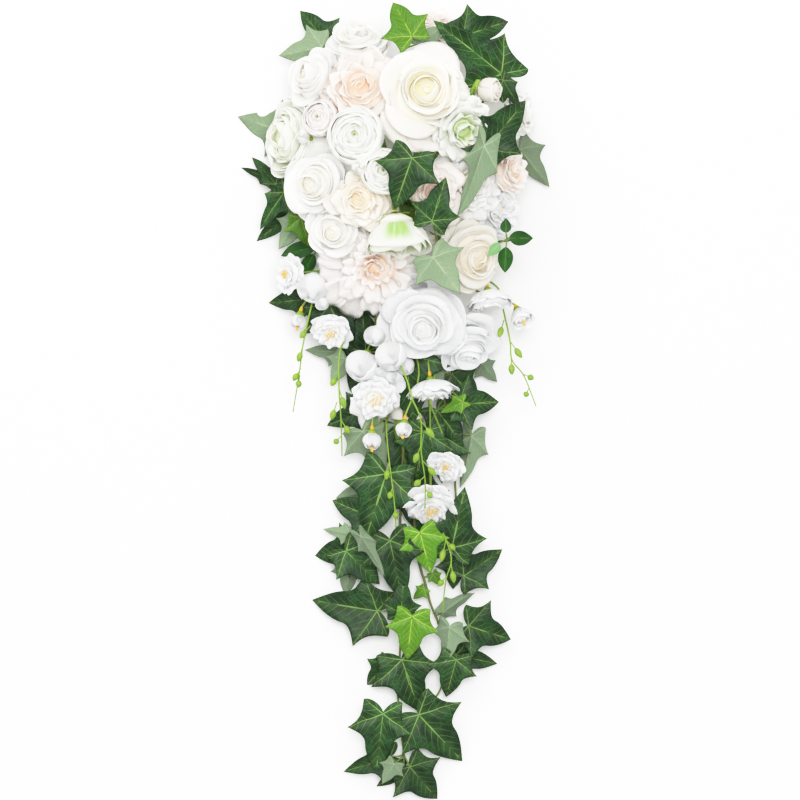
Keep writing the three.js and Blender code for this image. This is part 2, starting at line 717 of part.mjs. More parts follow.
// Strands of little green buds: the points of each strand as [column, row, height], and each bud with
// the place its stalk leaves the strand.
const BUD_STRANDS = [
  {
    name: "bud_strand_far_left",
    points: [[344, 262, 30], [318, 290, 34], [310, 312, 56], [303, 345, 64], [299, 375, 60], [293, 412, 50]],
    buds: [
      [[310, 326], [300, 338]], [[303, 345], [298, 362]], [[301, 368], [293, 381]], [[300, 375], [298, 388]],
    ],
  },
  {
    name: "bud_strand_left",
    points: [[356, 290, 38], [350, 326, 34], [340, 352, 52], [339, 388, 58], [341, 420, 52], [342, 456, 44]],
    buds: [
      [[339, 372], [331, 386]], [[339, 388], [345, 409]], [[337, 402], [331, 420]], [[341, 420], [350, 434]],
      [[341, 436], [334, 444]],
    ],
  },
  {
    name: "bud_strand_centre",
    points: [
      [398, 264, 56], [398, 330, 58], [398, 358, 66], [407, 380, 76], [412, 398, 82], [421, 421, 78],
      [421, 450, 70], [425, 480, 62], [425, 508, 56],
    ],
    buds: [
      [[421, 421], [434, 438]], [[421, 446], [414, 463]], [[423, 461], [436, 476]], [[425, 476], [414, 486]],
      [[425, 488], [432, 498]],
    ],
  },
  {
    name: "bud_strand_inner",
    points: [
      [378, 270, 28], [376, 340, 24], [384, 384, 26], [386, 420, 34], [388, 450, 42], [394, 500, 44],
      [396, 528, 38],
    ],
    buds: [[[389, 462], [386, 480]], [[393, 486], [389, 499]], [[395, 506], [396, 519]]],
  },
  {
    name: "bud_strand_right",
    points: [
      [450, 262, 30], [496, 286, 34], [504, 313, 42], [510, 341, 56], [512, 360, 56], [524, 376, 52],
      [536, 406, 42],
    ],
    buds: [
      [[504, 320], [499, 337]], [[510, 341], [522, 358]], [[511, 356], [512, 375]], [[523, 374], [534, 379]],
      [[529, 388], [525, 397]],
    ],
  },
  {
    name: "bud_strand_low",
    points: [
      [430, 262, 26], [428, 340, 20], [430, 440, 20], [430, 480, 20], [436, 514, 22], [449, 548, 36],
      [451, 563, 38], [446, 580, 36], [442, 613, 28],
    ],
    buds: [
      [[446, 540], [441, 562]], [[446, 540], [455, 550]], [[451, 563], [454, 583]], [[447, 576], [438, 586]],
    ],
  },
];

// Ivy and ruscus: the stem from the binding on, as [cell, height] pairs, and its leaves.
const VINES = [
  {
    name: "ivy_vine_left", root: [[398, 330], 30],
    stem: [[[392, 400], 38], [[378, 450], 24], [[372, 500], 14], [[362, 550], 12], [[352, 566], 12]],
    leaves: [
      { from: [363, 431], to: [386, 468], z: [36, 26], wide: 1.15, flip: true },
      { from: [386, 474], to: [365, 541], z: [36, 28], wide: 0.98 },
      { from: [366, 492], to: [336, 498], z: [9, 5], flip: true },
      { from: [373, 518], to: [331, 500], z: [22, 15] },
      { from: [350, 534], to: [323, 529], z: [17, 13], wide: 0.7, flip: true },
      { from: [346, 551], to: [380, 585], z: [24, 18] },
      { from: [350, 566], to: [346, 596], z: [5, 2.5], flip: true },
      { from: [361, 536], to: [385, 576], z: [40, 36], wide: 0.4, roll: 20, flip: true },
      { from: [356, 549], to: [314, 556], z: [10, 4], wide: 1.1 },
      { from: [366, 352], to: [362, 308], z: [20, 24], wide: 1.2 },
      { from: [372, 396], to: [346, 372], z: [16, 12], wide: 1.2 },
      { from: [366, 410], to: [326, 426], z: [20, 14], wide: 0.9 },
    ],
  },
  {
    name: "ivy_vine_centre", root: [[402, 330], 26],
    stem: [
      [[404, 420], 36], [[402, 480], 20], [[400, 540], 12], [[404, 600], 10], [[400, 650], 10],
      [[398, 700], 9], [[404, 755], 8],
    ],
    leaves: [
      { from: [424, 432], to: [416, 482], z: [32, 26] },
      { from: [390, 541], to: [403, 602], z: [28, 20], wide: 0.85 },
      { from: [420, 533], to: [431, 574], z: [30, 22] },
      { from: [377, 611], to: [311, 600], z: [16, 7], wide: 0.9 },
      { from: [401, 613], to: [404, 578], z: [24, 25], wide: 1.0 },
      { from: [412, 617], to: [407, 661], z: [34, 27] },
      { from: [402, 660], to: [420, 713], z: [20, 11], wide: 1.05 },
      { from: [386, 664], to: [366, 686], z: [12, 4] },
      { from: [383, 714], to: [376, 774], z: [27, 18], wide: 0.85 },
      { from: [390, 757], to: [343, 772], z: [16, 9], wide: 0.7 },
      { from: [410, 767], to: [438, 800], z: [12, 4], wide: 1.15 },
      { from: [404, 768], to: [376, 787], z: [5, 2.5], wide: 0.7 },
      { from: [394, 764], to: [382, 784], z: [23, 20], flip: true },
      { from: [405, 352], to: [414, 424], z: [40, 35] },
      { from: [432, 378], to: [428, 344], z: [33, 38], flip: true },
      { from: [412, 484], to: [424, 536], z: [16, 10], wide: 1.1 },
      { from: [398, 428], to: [410, 484], z: [16, 12], wide: 1.2 },
    ],
  },
  {
    name: "ivy_vine_right", root: [[430, 330], 24],
    stem: [[[442, 390], 30], [[452, 440], 18], [[456, 500], 12], [[458, 548], 11], [[462, 572], 10]],
    leaves: [
      { from: [459, 404], to: [500, 402], z: [36, 26], wide: 1.1 },
      { from: [463, 402], to: [440, 413], z: [50, 48], wide: 0.7 },
      { from: [437, 410], to: [463, 445], z: [26, 20] },
      { from: [472, 436], to: [461, 488], z: [13, 8], wide: 0.6, roll: 15, flip: true },
      { from: [482, 364], to: [497, 382], z: [13, 9], flip: true },
      { from: [452, 548], to: [465, 487], z: [26, 30], wide: 0.85 },
      { from: [464, 576], to: [503, 549], z: [16, 10], wide: 0.9 },
      { from: [456, 560], to: [453, 590], z: [12, 5] },
      { from: [452, 374], to: [478, 402], z: [22, 16], wide: 1.2 },
      { from: [446, 438], to: [442, 484], z: [22, 16] },
    ],
  },
  {
    name: "ivy_vine_low", root: [[412, 470], 20],
    stem: [
      [[415, 530], 12], [[419, 562], 10], [[426, 586], 10], [[431, 605], 10], [[439, 625], 9],
      [[446, 655], 9], [[440, 690], 8], [[420, 714], 8],
    ],
    leaves: [
      { from: [433, 574], to: [441, 586], z: [12, 10] },
      { from: [424, 589], to: [413, 599], z: [12, 10] },
      { from: [443, 612], to: [474, 592], z: [14, 10], wide: 0.6, roll: 30, flip: true },
      { from: [469, 626], to: [512, 640], z: [22, 12], wide: 1.1 },
      { from: [456, 660], to: [446, 698], z: [22, 14], wide: 1.05 },
      { from: [456, 655], to: [498, 664], z: [11, 6], wide: 0.8 },
      { from: [450, 627], to: [445, 663], z: [26, 20], roll: 30, flip: true },
      { from: [419, 715], to: [463, 762], z: [18, 6] },
    ],
  },
  {
    name: "ivy_sprig_top_left", root: [[384, 190], 30],
    stem: [[[352, 110], 22], [[336, 60], 28], [[324, 46], 30]],
    leaves: [
      { from: [322, 47], to: [279, 56], z: [32, 24], wide: 0.95, flip: true },
      { from: [328, 44], to: [299, 9], z: [22, 14], wide: 0.85 },
    ],
  },
  {
    name: "ivy_sprig_top", root: [[404, 200], 44],
    stem: [[[402, 130], 46], [[398, 66], 60], [[402, 50], 78]],
    leaves: [
      { from: [412, 36], to: [392, 0], z: [92, 80] },
      { from: [418, 44], to: [444, 26], z: [76, 68], flip: true },
    ],
  },
  {
    name: "ivy_sprig_top_right", root: [[420, 195], 30],
    stem: [[[470, 120], 24], [[492, 90], 34], [[500, 76], 50]],
    leaves: [
      { from: [464, 36], to: [511, 20], z: [62, 46], wide: 0.85 },
      { from: [502, 74], to: [434, 20], z: [64, 78], wide: 0.66 },
      { from: [503, 80], to: [521, 110], z: [66, 62], wide: 0.6, roll: -10 },
    ],
  },
  {
    name: "ivy_sprig_right", root: [[430, 206], 30],
    stem: [[[474, 156], 40], [[490, 150], 84]],
    leaves: [
      { from: [486, 149], to: [527, 99], z: [104, 84], wide: 0.8 },
      { from: [485, 146], to: [458, 218], z: [122, 112], wide: 0.45, roll: 25, flip: true },
    ],
  },
  {
    name: "ivy_sprig_far_right", root: [[424, 222], 20],
    stem: [[[470, 190], 10], [[508, 160], 14], [[519, 150], 17]],
    leaves: [
      { from: [520, 149], to: [549, 187], z: [18, 8], wide: 0.75, flip: true },
      { from: [522, 160], to: [551, 186], z: [7, 0.8], wide: 0.5 },
    ],
  },
  {
    name: "ivy_sprig_centre", root: [[410, 205], 44],
    stem: [[[412, 168], 96], [[412, 160], 138]],
    leaves: [
      { from: [412, 158], to: [394, 210], z: [146, 136], wide: 1.05 },
    ],
  },
  {
    name: "ivy_sprig_low", root: [[420, 236], 36],
    stem: [[[438, 243], 66], [[437, 241], 100], [[434, 227], 128]],
    leaves: [
      { from: [432, 221], to: [446, 177], z: [131, 136], wide: 0.95 },
      { from: [433, 257], to: [460, 293], z: [112, 98], wide: 1.1, flip: true },
    ],
  },
  {
    name: "ivy_sprig_left", root: [[386, 216], 22],
    stem: [[[330, 180], 8], [[296, 162], 5], [[284, 150], 4]],
    leaves: [
      { from: [286, 132], to: [238, 117], z: [5, 0.8], flip: true },
      { from: [276, 184], to: [251, 156], z: [18, 12], wide: 0.55 },
      { from: [272, 180], to: [240, 167], z: [10, 4], wide: 0.4 },
    ],
  },
  {
    name: "ivy_sprig_left_low", root: [[386, 232], 18],
    stem: [[[330, 226], 12], [[300, 214], 22]],
    leaves: [
      { from: [284, 192], to: [259, 230], z: [38, 28], wide: 0.6, roll: 10 },
      { from: [294, 212], to: [255, 242], z: [20, 6], wide: 0.55 },
      { from: [301, 218], to: [309, 248], z: [54, 46] },
      { from: [296, 222], to: [279, 249], z: [36, 26], flip: true },
    ],
  },
  {
    name: "ivy_sprig_lower_left", root: [[390, 250], 14],
    stem: [[[350, 290], 12], [[322, 300], 18]],
    leaves: [
      { from: [312, 299], to: [268, 303], z: [22, 8], wide: 0.8 },
      { from: [338, 352], to: [305, 350], z: [20, 10], wide: 0.7, flip: true },
      { from: [345, 358], to: [331, 384], z: [26, 18], flip: true },
      { from: [330, 306], to: [352, 352], z: [38, 32], wide: 1.2 },
    ],
  },
  {
    name: "ruscus_sprig_right", root: [[426, 240], 22], finish: "ruscus",
    stem: [[[470, 244], 20], [[512, 240], 50], [[507, 239], 92]],
    leaves: [
      { shape: "blade", from: [509, 238], to: [534, 238], z: [93, 84], wide: 1.5 },
      { shape: "blade", from: [506, 247], to: [505, 273], z: [92, 82], wide: 1.5 },
      { shape: "blade", from: [506, 233], to: [506, 218], z: [97, 96], wide: 2 },
      { shape: "blade", from: [500, 243], to: [488, 256], z: [98, 100], wide: 1.6, flip: true },
    ],
  },
  {
    name: "ruscus_sprig_left", root: [[388, 262], 16], finish: "ruscus",
    stem: [[[352, 272], 22], [[330, 262], 34], [[314, 250], 40]],
    leaves: [
      { shape: "blade", from: [316, 246], to: [279, 256], z: [42, 30], wide: 1.1 },
      { shape: "blade", from: [314, 254], to: [300, 278], z: [36, 26], wide: 1.3 },
      { shape: "blade", from: [344, 276], to: [350, 324], z: [30, 34], wide: 1.4 },
      { shape: "blade", from: [352, 276], to: [374, 318], z: [26, 30], wide: 1.4 },
    ],
  },
];

// Building.
const bouquet = new THREE.Group();
const standing = [];

function boxesMeet(a, b) {
  const p = a.boundingBox();
  const q = b.boundingBox();
  return [0, 1, 2].every((k) => p.min[k] <= q.max[k] && q.min[k] <= p.max[k]);
}

// The solid once what already stands, its own vine apart, has been cut from it.
function trimmed(made, own) {
  for (const other of standing) {
    if (other.own !== own && boxesMeet(made, other.solid)) made = made.subtract(other.solid);
  }
  return made;
}

function keep(own, ...solids) {
  for (const solid of solids) standing.push({ own, solid });
}

function largest(made) {
  const bodies = made.decompose();
  return bodies.reduce((best, body) => (body.volume() > best.volume() ? body : best), bodies[0]);
}

function addMesh(name, made, material) {
  const mesh = largest(largest(made).simplify(SMOOTH)).getMesh();
  const geometry = new THREE.BufferGeometry();
  const points = new Float32Array(mesh.numVert * 3);
  for (let i = 0; i < mesh.numVert; i++) {
    points.set(mesh.vertProperties.subarray(i * mesh.numProp, i * mesh.numProp + 3), i * 3);
  }
  geometry.setAttribute("position", new THREE.BufferAttribute(points, 3));
  geometry.setIndex(new THREE.BufferAttribute(mesh.triVerts, 1));
  const shown = new THREE.Mesh(geometry, material);
  shown.name = name;
  bouquet.add(shown);
}

// Where each bloom stands: its frame at the base of its core, and its ball of room.
BLOOMS.forEach((bloom, index) => {
  const kind = BLOOM_KINDS[bloom.kind];
  bloom.axis = new THREE.Vector3(...bloom.face).normalize();
  bloom.seed = index + 1;
  bloom.base = at(bloom.cell, bloom.z).addScaledVector(bloom.axis, -0.42 * bloom.radius);
  bloom.frame = frameOf(bloom.base, bloom.axis);
  const middle = bloom.base.clone().addScaledVector(bloom.axis, 0.4 * bloom.radius);
  rooms.push({ owner: bloom.name, middle, radius: kind.room * bloom.radius });
});
LONE_BUDS.forEach((bud) => {
  bud.axis = new THREE.Vector3(...bud.face).normalize();
  bud.base = at(bud.cell, bud.z).addScaledVector(bud.axis, -0.7 * bud.radius);
  bud.frame = frameOf(at(bud.cell, bud.z), bud.axis);
});

// The bound stems: the handle's bundle, its cut ends, and a stem with a calyx to every bloom.
function boundStems(grow = 0) {
  const down = HANDLE_END.clone().sub(BINDING);
  const length = down.length();
  const frame = frameOf(BINDING, down);
  const end = length - 16 + grow;
  const wide = HANDLE_R + grow;
  const bundle = [[0, -grow], [wide - 3, -grow], [wide, 30], [wide, end], [0, end]];
  const made = [turned(bundle, frame, 9)];
  for (let i = 0; i < 6; i++) {
    const turn = (i / 5) * 2 * Math.PI;
    const out = i === 5 ? 0 : HANDLE_R - 4;
    const place = (r, h) => new THREE.Vector3(r * Math.cos(turn), r * Math.sin(turn), h).applyMatrix4(frame);
    made.push(stem([place(out, length - 20), place(1.15 * out, length + 4 * scatter(i, 3))], 3.5, 5, grow));
  }
  const shoulder = 0.7 * HUB_R + grow;
  const belt = [[shoulder, -0.7 * HUB_R], [HUB_R + grow, 0], [shoulder, 0.8 * HUB_R]];
  const hub = [[0, -HUB_R - grow], ...belt, [0, 32]];
  made.push(turned(hub, frame, 8));
  for (const { base, axis, radius, kind } of [...BLOOMS, ...LONE_BUDS]) {
    const seat = kind ? BLOOM_KINDS[kind].foot + 0.04 : -0.14;
    const top = base.clone().addScaledVector(axis, seat * radius);
    const below = top.clone().addScaledVector(axis, -0.3 * radius);
    const out = below.clone().sub(BINDING);
    const root = BINDING.clone().addScaledVector(out.normalize(), 0.5 * HUB_R);
    made.push(stem([root, below, top], [STEM_R, STEM_R, 0.18 * radius], 3, grow));
  }
  return join(made);
}

addMesh("bound_stems", boundStems(), FINISH.stem);
keep("bound_stems", boundStems(CLEAR), boundStems());

// The ribbon, wound up the handle in turns that each lap the last.
function ribbonWrap(grow = 0) {
  const down = HANDLE_END.clone().sub(BINDING);
  const inner = HANDLE_R + 1.5 * CLEAR - grow;
  const first = 44;
  const last = down.length() - 20;
  const turns = Math.round((last - first) / RIBBON_TURN);
  const outer = [];
  for (let i = 0; i < turns; i++) {
    const start = first + ((last - first) * i) / turns;
    const end = first + ((last - first) * (i + 1)) / turns;
    outer.push([inner + RIBBON + grow, start - (i === 0 ? grow : 0)]);
    outer.push([inner + RIBBON + 0.9 + grow, end - 0.6]);
  }
  outer.push([inner + RIBBON - 0.2 + grow, last + grow]);
  const profile = [[inner, first - grow], ...outer, [inner, last + grow], [inner, first - grow]];
  return turned(profile, frameOf(BINDING, down), 9);
}

addMesh("ribbon_wrap", trimmed(ribbonWrap(), "ribbon_wrap"), FINISH.ribbon);
keep("ribbon_wrap", ribbonWrap(CLEAR));

// Points that run on from inside the knot.
function fromKnot(points) {
  const out = points[0].clone().sub(BINDING).setLength(0.7 * HUB_R);
  return [BINDING.clone().add(out), ...points];
}

// A vine's stem, from the binding on.
function vinePath(vine) {
  const points = [vine.root, ...vine.stem].map(([cell, z]) => at(cell, z));
  return new THREE.CatmullRomCurve3(fromKnot(points));
}

function vineStem(vine, grow = 0) {
  const path = vinePath(vine);
  return stem(path.getPoints(path.points.length), VINE_R, 3, grow);
}

// The leaves of a vine, each with a stalk that runs back to the nearest place on the stem.
function vineLeaves(vine, grow = 0) {
  const spots = vinePath(vine).getSpacedPoints(60);
  return vine.leaves.map((leaf) => {
    const root = at(leaf.from, leaf.z[0]);
    const along = at(leaf.to, leaf.z[1]).sub(root).normalize();
    const cost = (spot) => {
      const back = spot.clone().sub(root);
      return back.length() + 3 * Math.max(back.dot(along), 0);
    };
    const nearest = spots.reduce((best, spot) => (cost(spot) < cost(best) ? spot : best));
    return leafSolid(leaf, nearest, vine.name, grow);
  });
}

const vineStems = new Map();
for (const vine of VINES) {
  vineStems.set(vine.name, trimmed(vineStem(vine), vine.name));
  keep(vine.name, vineStem(vine, CLEAR), vineStem(vine));
}

for (const bloom of BLOOMS) {
  addMesh(bloom.name, trimmed(bloomSolid(bloom), bloom.name), FINISH[bloom.finish]);
  keep(bloom.name, bloomRoom(bloom), bloomSolid(bloom));
}
for (const bud of LONE_BUDS) {
  addMesh(bud.name, trimmed(budSolid(bud), bud.name), FINISH.white);
  keep(bud.name, budSolid(bud, CLEAR));
}

// A spray: its trunk out of the knot, and the thin stems that carry its heads from the trunk's end.
function sprayPieces(spray, grow = 0) {
  const trunk = spray.trunk.map(([cell, z]) => at(cell, z));
  const made = [stem(fromKnot(trunk), VINE_R, 3, grow)];
  spray.heads.forEach((head, index) => {
    const axis = new THREE.Vector3(...head.face).normalize();
    const middle = at(head.cell, head.z);
    const ball = head.kind === "ball";
    const base = middle.clone().addScaledVector(axis, (ball ? -0.8 : -0.3) * head.radius);
    const below = base.clone().addScaledVector(axis, -0.6 * head.radius - 4);
    const seat = base.clone().addScaledVector(axis, 0.1 * head.radius);
    const via = head.via ? [at(...head.via)] : [];
    made.push(stem([trunk[trunk.length - 1], ...via, below, seat], TWIG_R, 3, grow));
    const full = { ...head, seed: index + 40, spin: index * 0.7, name: spray.name };
    full.frame = frameOf(ball ? middle : base, axis);
    made.push(ball ? budSolid(full, grow) : bloomSolid(full, grow));
  });
  return join(made);
}

for (const spray of SPRAYS) {
  addMesh(spray.name, trimmed(sprayPieces(spray), spray.name), FINISH.white);
  keep(spray.name, sprayPieces(spray, CLEAR), sprayPieces(spray));
}

// A strand of green buds, falling from under the flowers.
function strandPieces(strand, grow = 0) {
  const { points, buds } = strand;
  const heightAt = (row) => {
    const next = Math.max(points.findIndex((p) => p[1] >= row), 1);
    const [above, below] = [points[next - 1], points[next]];
    return THREE.MathUtils.mapLinear(row, above[1], below[1], above[2], below[2]);
  };
  const path = points.map(([column, row, z]) => at([column, row], z));
  const made = [stem(fromKnot(path), TWIG_R, 3, grow)];
  for (const [from, to] of buds) {
    made.push(almond(at(from, heightAt(from[1])), at(to, heightAt(to[1]) + 2), BUD_R, grow));
  }
  return join(made);
}

for (const strand of BUD_STRANDS) {
  addMesh(strand.name, trimmed(strandPieces(strand), strand.name), FINISH.bud);
  keep(strand.name, strandPieces(strand, CLEAR), strandPieces(strand));
}

// Last, the leaves lie over and round everything else.
for (const vine of VINES) {
  const leaves = trimmed(join(vineLeaves(vine)), vine.name);
  addMesh(vine.name, join([vineStems.get(vine.name), leaves]), FINISH[vine.finish ?? "ivy"]);
  keep(vine.name, join(vineLeaves(vine, CLEAR)), join(vineLeaves(vine)));
}

export default bouquet;
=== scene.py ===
"""A cascading bridal bouquet of fabric flowers and trailing ivy, lying on its back.

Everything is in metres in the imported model's frame: +Z up out of the flowers' faces, +Y towards the
top of the bouquet, +X to its right. Each piece here replaces one node of the model and keeps its
form, with petals, veins and stamens of its own. The tables near the end give what stands where.
"""

import logging
from collections.abc import Callable
from dataclasses import dataclass, field, fields
from enum import Enum
from functools import partialmethod

import bpy
import numpy as np
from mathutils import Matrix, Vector
from numpy.typing import NDArray


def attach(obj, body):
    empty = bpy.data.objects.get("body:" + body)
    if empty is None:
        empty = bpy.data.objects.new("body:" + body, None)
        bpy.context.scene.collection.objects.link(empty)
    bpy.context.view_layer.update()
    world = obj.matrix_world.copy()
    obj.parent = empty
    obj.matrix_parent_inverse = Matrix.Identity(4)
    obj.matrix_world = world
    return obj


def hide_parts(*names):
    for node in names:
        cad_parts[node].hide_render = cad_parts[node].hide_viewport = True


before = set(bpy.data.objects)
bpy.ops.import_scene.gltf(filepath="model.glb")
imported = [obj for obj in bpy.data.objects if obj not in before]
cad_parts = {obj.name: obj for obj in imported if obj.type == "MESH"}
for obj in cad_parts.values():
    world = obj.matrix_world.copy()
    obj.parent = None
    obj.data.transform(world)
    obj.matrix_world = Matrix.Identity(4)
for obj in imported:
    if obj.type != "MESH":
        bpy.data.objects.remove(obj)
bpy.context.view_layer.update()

Floats = NDArray[np.float64]
Ints = NDArray[np.int64]
Cell = tuple[float, float]
Triple = tuple[float, float, float]
Stop = tuple[float, float, float]  # column and row of the front view, and a height in millimetres
Node = bpy.types.Node
Tree = bpy.types.NodeTree
Socket = bpy.types.NodeSocket
Sockets = bpy.types.bpy_prop_collection
Value = Socket | float

MM = 0.001
CELL = 0.9 * MM  # side of a cell of the front view
VIEW_MIDDLE = (400, 400)
SIDE_SHIFT = 5.4 * MM  # the view's middle column lies this far right of the origin
UP_SHIFT = 4.8 * MM  # and its middle row this far above it
EYE_HEIGHT = 2700 * MM
VIEW_CELLS = 800  # cells across the view
SENSOR_MM = 36.0
PETAL_THICK = 0.45 * MM
LEAF_THICK = 0.5 * MM
RIM_TAPER = 0.4  # thickness of a petal's rim, as a share of its middle's
STEM_R = 2.0 * MM
VINE_R = 1.2 * MM
TWIG_R = 0.9 * MM
STALK_R = 0.75 * MM
BUD_R = 2.9 * MM
TUBE_LENGTH = 5 * MM  # of the orange tube under a blossom or a bell
HUB_R = 17 * MM
ROOT_DEPTH = 0.7  # how far from the knot's middle a stem starts, as a share of the knot's radius
HANDLE_R = 12 * MM
TAPE_SIDES = 32
RIBBON_THICK = 1.6 * MM
RIBBON_TURN = 26 * MM
NEXT_TURN = 2.4  # radians from one ring of petals, or one stamen, to the next
OFF_AXIS = 0.13  # keeps the fixed direction of a tube's rings off the main axes
TINY = 1e-12  # keeps a division clear of zero
ATTRIBUTES = ("along", "depth", "chance", "under", "young")

log = logging.getLogger("bouquet")


def at(cell: Cell | Floats, height: float | Floats) -> Floats:
    """Gives the place of a cell of the front view at a height.

    The eye is far above, so what stands higher is drawn in towards the view's middle in proportion.

    Args:
        cell: Column and row, counted from the left and from the top.
        height: Height above the surface, in millimetres.

    Returns:
        The place, in metres.
    """
    cells = np.asarray(cell, dtype=float)
    z = np.asarray(height, dtype=float) * MM
    reach = CELL * (1 - z / EYE_HEIGHT)
    x = SIDE_SHIFT + (cells[..., 0] - VIEW_MIDDLE[0]) * reach
    y = UP_SHIFT + (VIEW_MIDDLE[1] - cells[..., 1]) * reach
    return np.stack([x, y, z + 0 * x], axis=-1)


def unit(vectors: Floats | Triple) -> Floats:
    """Gives each vector the length one."""
    return vectors / np.maximum(np.linalg.norm(vectors, axis=-1, keepdims=True), TINY)


def smooth(value: Floats, low: float, high: float) -> Floats:
    """Rises from 0 at low to 1 at high as 3 t^2 - 2 t^3 of the clipped share t."""
    t = np.clip((value - low) / (high - low), 0.0, 1.0)
    return t * t * (3 - 2 * t)


def polar(reach: Floats, angle: Floats | float, height: Floats) -> Floats:
    """Stacks (r cos a, r sin a, h) for each distance r from the axis, angle a and height h."""
    spread = np.broadcast_arrays(reach * np.cos(angle), reach * np.sin(angle), height)
    return np.stack(spread, axis=-1)


def full_turn(sides: int) -> Floats:
    """Gives angles that are spread evenly over one turn."""
    return np.linspace(0, 2 * np.pi, sides, endpoint=False)


def headings(count: int) -> Floats:
    """Gives the directions of petals that are spread evenly round an axis, as (petal, 1, 1)."""
    return np.arange(count)[:, None, None] * 2 * np.pi / count


def spans(across: int, along: int) -> tuple[Floats, Floats]:
    """Gives u from -1 to 1 across petals and v from 0 to 1 along them, as (petal, across, along)."""
    return np.linspace(-1, 1, across)[None, :, None], np.linspace(0, 1, along)[None, None, :]


BINDING = at((404, 222), 36)  # middle of the knot
HANDLE_END = at((408, 440), 13)


@dataclass(frozen=True)
class Stand:
    """Where a thing stands and which way it points: its own z runs along the axis."""

    base: Floats
    axis: Floats

    def world(self, local: Floats) -> Floats:
        """Turns points from the thing's own x, y and z into the bouquet's.

        Args:
            local: Points about the base, the last axis holding x, y and z.

        Returns:
            The same points in the bouquet's frame.
        """
        z = unit(self.axis)
        x = np.cross((0.0, 1.0, 0.0), z)
        x = np.array((1.0, 0.0, 0.0)) if np.linalg.norm(x) < 0.1 else unit(x)
        y = np.cross(z, x)
        return self.base + local[..., :1] * x + local[..., 1:2] * y + local[..., 2:3] * z


@dataclass(frozen=True)
class Room:
    """The ball of room that a bloom keeps to itself."""

    owner: str
    middle: Floats
    radius: float


ROOMS: list[Room] = []


def bend_clear(points: Floats, owner: str) -> Floats:
    """Moves points that lie inside another bloom's ball of room straight out to its surface.

    Args:
        points: Points to move, the last axis holding x, y and z.
        owner: Name of the bloom that the points belong to, whose own ball is left out.

    Returns:
        The moved points.
    """
    for room in ROOMS:
        if room.owner == owner:
            continue
        away = points - room.middle
        far = np.linalg.norm(away, axis=-1, keepdims=True)
        pushed = room.middle + away * (room.radius / np.maximum(far, TINY))
        points = np.where(far < room.radius, pushed, points)
    return points


@dataclass
class Shape:
    """A closed surface: its points, faces, flat coordinates and the values that materials read."""

    points: Floats
    quads: Ints
    triangles: Ints
    uv: Floats
    values: dict[str, Floats | float] = field(default_factory=dict)


NO_TRIANGLES = np.zeros((0, 3), dtype=np.int64)


def thin_sheets(sheets: Floats, thickness: float) -> tuple[Floats, Ints]:
    """Gives open sheets two faces and a rim.

    A point of a face lies half the thickness from the sheet along its normal, which is the cross
    product of the steps along the sheet's two parameters. The thickness falls off at the rim.

    Args:
        sheets: Grids of points, as (sheet, across, along, xyz).
        thickness: Thickness in the middle of a sheet.

    Returns:
        The points, each sheet's top before its bottom, and the faces.
    """
    count, across, along = sheets.shape[:3]
    normal = unit(np.cross(np.gradient(sheets, axis=1), np.gradient(sheets, axis=2)))
    taper = np.ones((across, along, 1))
    taper[[0, -1]] = RIM_TAPER
    taper[:, -1] = RIM_TAPER
    half = 0.5 * thickness * taper * normal
    points = np.stack([sheets + half, sheets - half], axis=1).reshape(-1, 3)
    size = across * along
    cell = np.arange(size).reshape(across, along)
    a, b, c, d = cell[:-1, :-1], cell[1:, :-1], cell[1:, 1:], cell[:-1, 1:]
    top = np.stack([a, b, c, d], axis=-1).reshape(-1, 4)
    loop = np.concatenate([cell[:-1, 0], cell[-1, :-1], cell[:0:-1, -1], cell[0, :0:-1]])
    ahead = np.roll(loop, -1)
    rim = np.stack([ahead, loop, loop + size, ahead + size], axis=-1)
    one = np.concatenate([top, top[:, ::-1] + size, rim])
    starts = np.arange(count) * 2 * size
    return points, (one[None] + starts[:, None, None]).reshape(-1, 4)


def on_both(values: Floats, sheets: tuple[int, int, int]) -> Floats:
    """Spreads values over (sheet, across, along) grids and repeats them for their two faces."""
    spread = np.broadcast_to(values, sheets)
    return np.stack([spread, spread], axis=1).reshape(-1)


def closed(rings: Floats, poles: Floats) -> Shape:
    """Joins rings of points into a closed skin, with a pole before the first and after the last.

    Args:
        rings: Points, as (ring, point, xyz).
        poles: The two poles.

    Returns:
        The surface, which knows the way along it.
    """
    count, sides = rings.shape[:2]
    cell = np.arange(count * sides).reshape(count, sides)
    ahead = np.roll(cell, -1, axis=1)
    quads = np.stack([cell[:-1], ahead[:-1], ahead[1:], cell[1:]], axis=-1).reshape(-1, 4)
    low = np.full(sides, count * sides)
    bottom = np.stack([low, ahead[0], cell[0]], axis=-1)
    top = np.stack([low + 1, cell[-1], ahead[-1]], axis=-1)
    around = np.tile(np.linspace(0, 1, sides, endpoint=False), count)
    share = np.repeat(np.linspace(0, 1, count), sides)
    uv = np.stack([np.append(around, [0, 0]), np.append(share, [0, 1])], axis=-1)
    points = np.concatenate([rings.reshape(-1, 3), poles])
    return Shape(points, quads, np.concatenate([bottom, top]), uv, {"along": uv[:, 1]})


def tube(path: Floats, radius: float | Floats, sides: int = 8) -> Shape:
    """Makes a round stem along a path.

    Each ring is path + r (cos a . side + sin a . other), where side is one fixed direction made
    square to the path and other is square to both.

    Args:
        path: Points along the middle of the stem.
        radius: Its radius, one for all or one at each point.
        sides: Points in a ring.

    Returns:
        The closed stem.
    """
    along = unit(np.gradient(path, axis=0))
    fixed = np.eye(3)[np.argmin(np.abs(path[-1] - path[0]))] + OFF_AXIS
    side = unit(fixed - along * (along @ fixed)[:, None])
    other = np.cross(along, side)
    turn = full_turn(sides)
    reach = np.broadcast_to(np.asarray(radius, dtype=float), len(path))[:, None, None]
    ring = np.cos(turn)[:, None] * side[:, None] + np.sin(turn)[:, None] * other[:, None]
    return closed(path[:, None] + reach * ring, path[[0, -1]])


